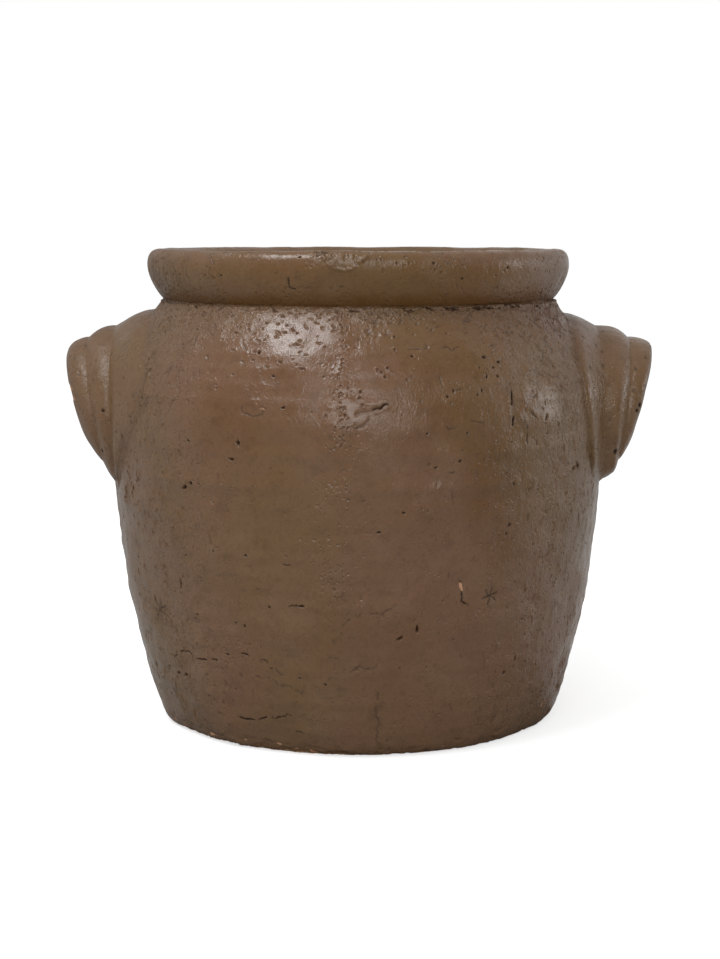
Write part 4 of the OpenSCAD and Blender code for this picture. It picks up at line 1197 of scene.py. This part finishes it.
def clay_material(name, glazed):
    k = Tree(name)
    co = k.n("ShaderNodeTexCoord").outputs["Object"]
    low = k.noise(co, 9.0, 2.0, 0.55, 0.4)
    mid = k.noise(co, 34.0, 4.0, 0.6, 0.3)
    tiny = k.noise(co, 420.0, 3.0, 0.65)
    spk = k.noise(co, 900.0, 1.0, 0.5)
    grit, hollow_dirt_and_shade_a, bare_a = k.attr("grit"), k.attr("hollow_dirt_and_shade"), k.attr("bare")
    # glaze: brown, drifting between redder and olive, darker and drier in the hollows, where the darkness is partly
    # painted shade
    c = k.ramp(low, [(0.36, GLZ_OLIVE), (0.50, GLZ_MID), (0.66, GLZ_RED)])
    c = k.mix(k.map(mid, 0.45, 0.75, 0.0, 0.45), c, GLZ_PALE)
    c = k.mix(k.map(k.noise(co, 130.0, 4.0, 0.6), 0.50, 0.75, 0.0, 0.35), c, GLZ_DARK)
    c = k.mix(k.map(tiny, 0.50, 0.78, 0.0, 0.45), c, GLZ_DARK)
    # a deeper amber where the glaze ran thick: on the rim and in a few places on the wall; the rim's lower, down-facing
    # band is darkened further as painted shade
    zz = k.n("ShaderNodeSeparateXYZ")
    k.l(co, zz.inputs[0])
    on_rim = k.math("MULTIPLY", k.map(zz.outputs[2], 0.2496, 0.2512, 0.0, 1.0), k.map(zz.outputs[2], 0.2695, 0.2765, 1.0, 0.0))
    # painted shade on the lower, down-facing part of the rim's roll just above the neck
    rim_underside_shade = k.math("MULTIPLY", k.map(zz.outputs[2], 0.2494, 0.2508, 0.0, 1.0), k.map(zz.outputs[2], 0.2530, 0.2600, 1.0, 0.0))
    c = k.mix(on_rim, c, (0.96, 0.92, 0.70), "MULTIPLY")
    c = k.mix(rim_underside_shade, c, (0.84, 0.76, 0.66), "MULTIPLY")
    c = k.mix(k.attr("tint"), c, (0.84, 0.77, 0.60), "MULTIPLY")
    sp = k.map(spk, 0.70, 0.80, 0.0, 0.6)
    c = k.mix(sp, c, GLZ_SPECK)
    # pits, cracks and the lug crease coloured near black: partly dirt in the hollow, partly painted shade
    c = k.mix(k.math("MULTIPLY", hollow_dirt_and_shade_a, 0.95), c, GLZ_HOLLOW_DIRT_AND_SHADE)
    # bare terracotta
    t = k.ramp(k.noise(co, 60.0, 4.0, 0.6), [(0.35, CLAY_DARK), (0.65, CLAY_PALE)])
    t = k.mix(k.map(tiny, 0.5, 0.8, 0.0, 0.5), t, CLAY_DARK)
    edge = k.math("ADD", bare_a, k.math("MULTIPLY", k.math("SUBTRACT", k.noise(co, 260.0, 3.0, 0.6), 0.5), 0.9))
    bare_m = k.map(edge, 0.42, 0.58, 0.0, 1.0) if glazed else None
    col = k.mix(bare_m, c, t) if glazed else t
    # roughness
    ro = k.map(k.noise(co, 55.0, 4.0, 0.6), 0.3, 0.7, ROUGH_LO, ROUGH_HI)
    ro = k.math("ADD", ro, k.math("MULTIPLY", hollow_dirt_and_shade_a, 0.4))
    ro = k.math("ADD", ro, k.map(zz.outputs[0], -0.153, -0.143, 0.10, 0.0))     # the left lug is duller than the rest
    ro = k.math("ADD", ro, k.math("MULTIPLY", grit, 0.14), clamp=True)
    if glazed:
        mr = k.n("ShaderNodeMix", data_type="FLOAT")
        k.l(bare_m, mr.inputs[0]), k.l(ro, mr.inputs[2])
        mr.inputs[3].default_value = 0.86
        ro_out = mr.outputs[0]
    # relief finer than the mesh: orange peel, pin pricks, grit and the torn grain on rough skin
    peel = k.noise(co, 190.0, 2.0, 0.5)
    pv = k.n("ShaderNodeTexVoronoi", feature="F1")
    pv.inputs["Scale"].default_value = 330.0
    pv.inputs["Randomness"].default_value = 1.0
    wco = k.n("ShaderNodeVectorMath", operation="ADD")
    nz = k.n("ShaderNodeTexNoise")
    nz.inputs["Scale"].default_value = 160.0
    k.l(co, nz.inputs["Vector"])
    sc = k.n("ShaderNodeVectorMath", operation="SCALE")
    sc.inputs[3].default_value = 0.006
    k.l(nz.outputs["Color"], sc.inputs[0]), k.l(co, wco.inputs[0]), k.l(sc.outputs[0], wco.inputs[1])
    k.l(wco.outputs[0], pv.inputs["Vector"])
    prick = k.map(pv.outputs["Distance"], 0.08, 0.34, 0.0, 1.0)          # 0 inside a prick
    gate = k.map(k.math("ADD", k.noise(co, 45.0, 2.0, 0.5), k.math("MULTIPLY", grit, 0.55)), 0.52, 0.85, 0.0, 1.0)
    grain = k.noise(co, 520.0, 4.0, 0.7)
    h1 = k.math("MULTIPLY", k.math("MULTIPLY", peel, k.map(grit, 0.0, 0.6, 0.4, 1.0)), PEEL_MM * MM)
    h2 = k.math("MULTIPLY", k.math("MULTIPLY", prick, gate), PRICK_MM * MM)
    h3 = k.math("MULTIPLY", k.math("MULTIPLY", grain, k.math("ADD", k.math("MULTIPLY", grit, 0.9), 0.27)), GRAIN_MM * MM)
    mp = k.n("ShaderNodeMapping")
    mp.inputs["Scale"].default_value = (1.0, 1.0, 0.55)
    k.l(co, mp.inputs["Vector"])
    hide = k.math("ABSOLUTE", k.math("SUBTRACT", k.noise(mp.outputs[0], 330.0, 2.0, 0.5, 0.9), 0.5))
    h4 = k.math("MULTIPLY", k.math("MULTIPLY", hide, k.math("ADD", k.math("MULTIPLY", grit, 0.9), 0.18)), HIDE_MM * MM)
    hh = k.math("ADD", k.math("ADD", h1, h2), k.math("ADD", h3, h4))
    bump = k.n("ShaderNodeBump")
    bump.inputs["Strength"].default_value = 1.0
    bump.inputs["Distance"].default_value = 1.0
    k.l(hh, bump.inputs["Height"])
    p = k.n("ShaderNodeBsdfPrincipled")
    k.l(col, p.inputs["Base Color"])
    k.l(bump.outputs["Normal"], p.inputs["Normal"])
    if glazed:
        k.l(ro_out, p.inputs["Roughness"])
        p.inputs["IOR"].default_value = 1.5
        sp2 = k.n("ShaderNodeMix", data_type="FLOAT")
        k.l(bare_m, sp2.inputs[0])
        sp2.inputs[2].default_value = SPEC
        sp2.inputs[3].default_value = 0.2
        k.l(k.math("MULTIPLY", sp2.outputs[0], k.map(hollow_dirt_and_shade_a, 0.15, 0.9, 1.0, 0.12)), p.inputs["Specular IOR Level"])
    else:
        p.inputs["Roughness"].default_value = 0.88
        p.inputs["Specular IOR Level"].default_value = 0.25
    out = k.n("ShaderNodeOutputMaterial")
    k.l(p.outputs[0], out.inputs["Surface"])
    return k.m


GLZ_MID = lin((110, 82, 57))
GLZ_RED = lin((112, 81, 59))
GLZ_OLIVE = lin((108, 82, 54))
GLZ_PALE = lin((121, 94, 72))
GLZ_DARK = lin((83, 60, 41))
GLZ_SPECK = lin((64, 44, 30))
GLZ_HOLLOW_DIRT_AND_SHADE = lin((26, 16, 9))
CLAY_PALE = lin((198, 156, 124))
CLAY_DARK = lin((158, 112, 84))
ROUGH_LO, ROUGH_HI, SPEC = 0.19, 0.31, 0.5
PEEL_MM, PRICK_MM, GRAIN_MM, HIDE_MM = 0.30, 0.34, 0.30, 1.2
glaze_mat = clay_material("brown_glaze_on_clay", True)
clay_mat = clay_material("bare_terracotta", False)
for node, ob in pieces.items():
    inner_piece = node in ("base_slab", "front_seam_coil", "back_seam_coil", "base_corner_coil")
    ob.data.materials.append(clay_mat if inner_piece else glaze_mat)

# ---------------------------------------------------------------- floor, light, camera
fl = bpy.data.meshes.new("floor")
nf = 96
ang = np.linspace(0, TAU, nf, endpoint=False)
fl.from_pydata([(14 * math.cos(a), 14 * math.sin(a), 0.0) for a in ang], [], [list(range(nf))])
floor = bpy.data.objects.new("floor", fl)
bpy.context.scene.collection.objects.link(floor)
fm = bpy.data.materials.new("pale_floor")
fm.use_nodes = True
fb_ = fm.node_tree.nodes["Principled BSDF"]
fb_.inputs["Roughness"].default_value = 0.9
fb_.inputs["Specular IOR Level"].default_value = 0.0
# the floor's colour changes with what looks at it: pale to the camera, a little darker for the light it bounces onto
# the pot, and dark grey where the glaze reflects it, which is a painted reflection
flp = fm.node_tree.nodes.new("ShaderNodeLightPath")
fmx = fm.node_tree.nodes.new("ShaderNodeMix")
fmx.data_type = "RGBA"
fm.node_tree.links.new(flp.outputs["Is Camera Ray"], fmx.inputs[0])
fmx.inputs[6].default_value = (0.64, 0.63, 0.61, 1)
fmx.inputs[7].default_value = (0.72, 0.72, 0.72, 1)
fmy = fm.node_tree.nodes.new("ShaderNodeMix")
fmy.data_type = "RGBA"
fm.node_tree.links.new(flp.outputs["Is Glossy Ray"], fmy.inputs[0])
fm.node_tree.links.new(fmx.outputs[2], fmy.inputs[6])
fmy.inputs[7].default_value = (0.22, 0.22, 0.22, 1)
fm.node_tree.links.new(fmy.outputs[2], fb_.inputs["Base Color"])
fb_.inputs["Emission Color"].default_value = (1, 1, 1, 1)
fgeo = fm.node_tree.nodes.new("ShaderNodeNewGeometry")
fsep = fm.node_tree.nodes.new("ShaderNodeSeparateXYZ")
fm.node_tree.links.new(fgeo.outputs["Position"], fsep.inputs[0])


def fmath(op, a, b=None):
    m = fm.node_tree.nodes.new("ShaderNodeMath")
    m.operation = op
    for i, v in enumerate((a, b)):
        if v is None:
            continue
        if hasattr(v, "is_output"):
            fm.node_tree.links.new(v, m.inputs[i])
        else:
            m.inputs[i].default_value = v
    return m.outputs[0]


def fstep(v, lo, hi, a, b):
    m = fm.node_tree.nodes.new("ShaderNodeMapRange")
    m.interpolation_type = "SMOOTHSTEP"
    fm.node_tree.links.new(v, m.inputs[0])
    for i, q in enumerate((lo, hi, a, b)):
        m.inputs[i + 1].default_value = q
    return m.outputs[0]


# seen in the glaze, the sweep is bright beside and behind the pot and dark on the camera's side
faz = fmath("ARCTAN2", fsep.outputs[0], fmath("MULTIPLY", fsep.outputs[1], -1.0))
fglow = fmath("ADD", fstep(faz, math.radians(76), math.radians(86), 0.0, 0.50), fstep(faz, math.radians(-100), math.radians(-35), 0.30, 0.0))
# no glow where the pot stands, so the drain hole looks down into shade
frad = fmath("SQRT", fmath("ADD", fmath("MULTIPLY", fsep.outputs[0], fsep.outputs[0]), fmath("MULTIPLY", fsep.outputs[1], fsep.outputs[1])))
femit = fmath("ADD", fmath("MULTIPLY", flp.outputs["Is Camera Ray"], fstep(frad, 0.09, 0.108, 0.0, 0.62)), fmath("MULTIPLY", flp.outputs["Is Glossy Ray"], fglow))
fm.node_tree.links.new(femit, fb_.inputs["Emission Strength"])
fl.materials.append(fm)

sc = bpy.context.scene
world = bpy.data.worlds.new("studio")
sc.world = world
world.use_nodes = True
wt = world.node_tree
wt.nodes.clear()

def wmath(op, a, b=None, clamp=False):
    m = wt.nodes.new("ShaderNodeMath")
    m.operation, m.use_clamp = op, clamp
    for i, v in enumerate((a, b)):
        if v is None:
            continue
        if hasattr(v, "is_output"):
            wt.links.new(v, m.inputs[i])
        else:
            m.inputs[i].default_value = v
    return m.outputs[0]


def wstep(v, lo, hi, a, b):
    m = wt.nodes.new("ShaderNodeMapRange")
    m.interpolation_type = "SMOOTHSTEP"
    wt.links.new(v, m.inputs[0])
    for i, q in enumerate((lo, hi, a, b)):
        m.inputs[i + 1].default_value = q
    return m.outputs[0]


geo = wt.nodes.new("ShaderNodeTexCoord")
sep = wt.nodes.new("ShaderNodeSeparateXYZ")
wt.links.new(geo.outputs["Generated"], sep.inputs[0])
dx, dy, dz = sep.outputs
# a dark room on the camera's side, white sweep behind and beside the pot: a sharp edge on the right, a soft one on the left
az = wmath("ARCTAN2", dx, wmath("MULTIPLY", dy, -1.0))          # 0 towards the camera, + to the right
right = wstep(az, math.radians(76), math.radians(86), 0.0, 1.0)
left = wstep(az, math.radians(-100), math.radians(-35), 1.0, 0.0)
sweep = wmath("ADD", wmath("MULTIPLY", right, 0.68), wmath("MULTIPLY", left, 0.42))
up = wstep(dz, 0.25, 0.8, 1.0, 0.55)
mirror = wmath("ADD", wmath("MULTIPLY", sweep, up), 0.04)
soft = wmath("ADD", wstep(dx, -0.9, 0.9, 0.392, 0.342), wstep(dz, 0.0, 0.9, -0.04, 0.26))
lp = wt.nodes.new("ShaderNodeLightPath")


def wmix(fac, a, b):
    m = wt.nodes.new("ShaderNodeMix")
    m.data_type = "FLOAT"
    wt.links.new(fac, m.inputs[0])
    for i, v in ((2, a), (3, b)):
        if hasattr(v, "is_output"):
            wt.links.new(v, m.inputs[i])
        else:
            m.inputs[i].default_value = v
    return m.outputs[0]


power = wmix(lp.outputs["Is Glossy Ray"], soft, mirror)
power = wmix(lp.outputs["Is Camera Ray"], power, 1.0)
bg = wt.nodes.new("ShaderNodeBackground")
wo_ = wt.nodes.new("ShaderNodeOutputWorld")
wt.links.new(power, bg.inputs["Strength"])
bg.inputs["Color"].default_value = (1, 1, 1, 1)
wt.links.new(bg.outputs[0], wo_.inputs["Surface"])


def area(name, loc, target, size, power, size_y=None):
    li = bpy.data.lights.new(name, "AREA")
    li.shape = "RECTANGLE"
    li.size = size
    li.size_y = size_y or size
    li.energy = power
    li.color = (0.95, 0.98, 1.0)
    ob = bpy.data.objects.new(name, li)
    sc.collection.objects.link(ob)
    ob.location = loc
    d = Vector(target) - Vector(loc)
    ob.rotation_euler = d.to_track_quat("-Z", "Y").to_euler()
    return ob


area("key", (-0.60, -0.545, 1.58), (0.0, 0.0, 0.2), 0.95, 8.8, 0.50)
area("key_tail", (-0.617, -0.90, 1.384), (-0.05, -0.12, 0.235), 0.52, 1.9, 0.25)
area("key_core", (-0.635, -0.45, 1.49), (-0.05, -0.12, 0.235), 0.50, 2.4, 0.24)
area("fill", (0.0, -1.50, 0.76), (0.0, 0.0, 0.2), 0.80, 6.2, 0.60)
area("card", (1.56, 0.19, 0.48), (0.0, 0.0, 0.2), 0.50, 2.2, 0.45)

cam = bpy.data.cameras.new("camera")
cam_ob = bpy.data.objects.new("camera", cam)
sc.collection.objects.link(cam_ob)
cam.sensor_fit = "VERTICAL"
cam.sensor_height = 36.0
cam.lens = 1902.34 * 36.0 / 959.0
cam_ob.location = (0.0012, -1.14856, 0.29339)
cam_ob.rotation_euler = (math.radians(90.0 - 7.583), 0.0, 0.0)
sc.camera = cam_ob
sc.view_settings.view_transform = "Standard"
sc.view_settings.look = "None"
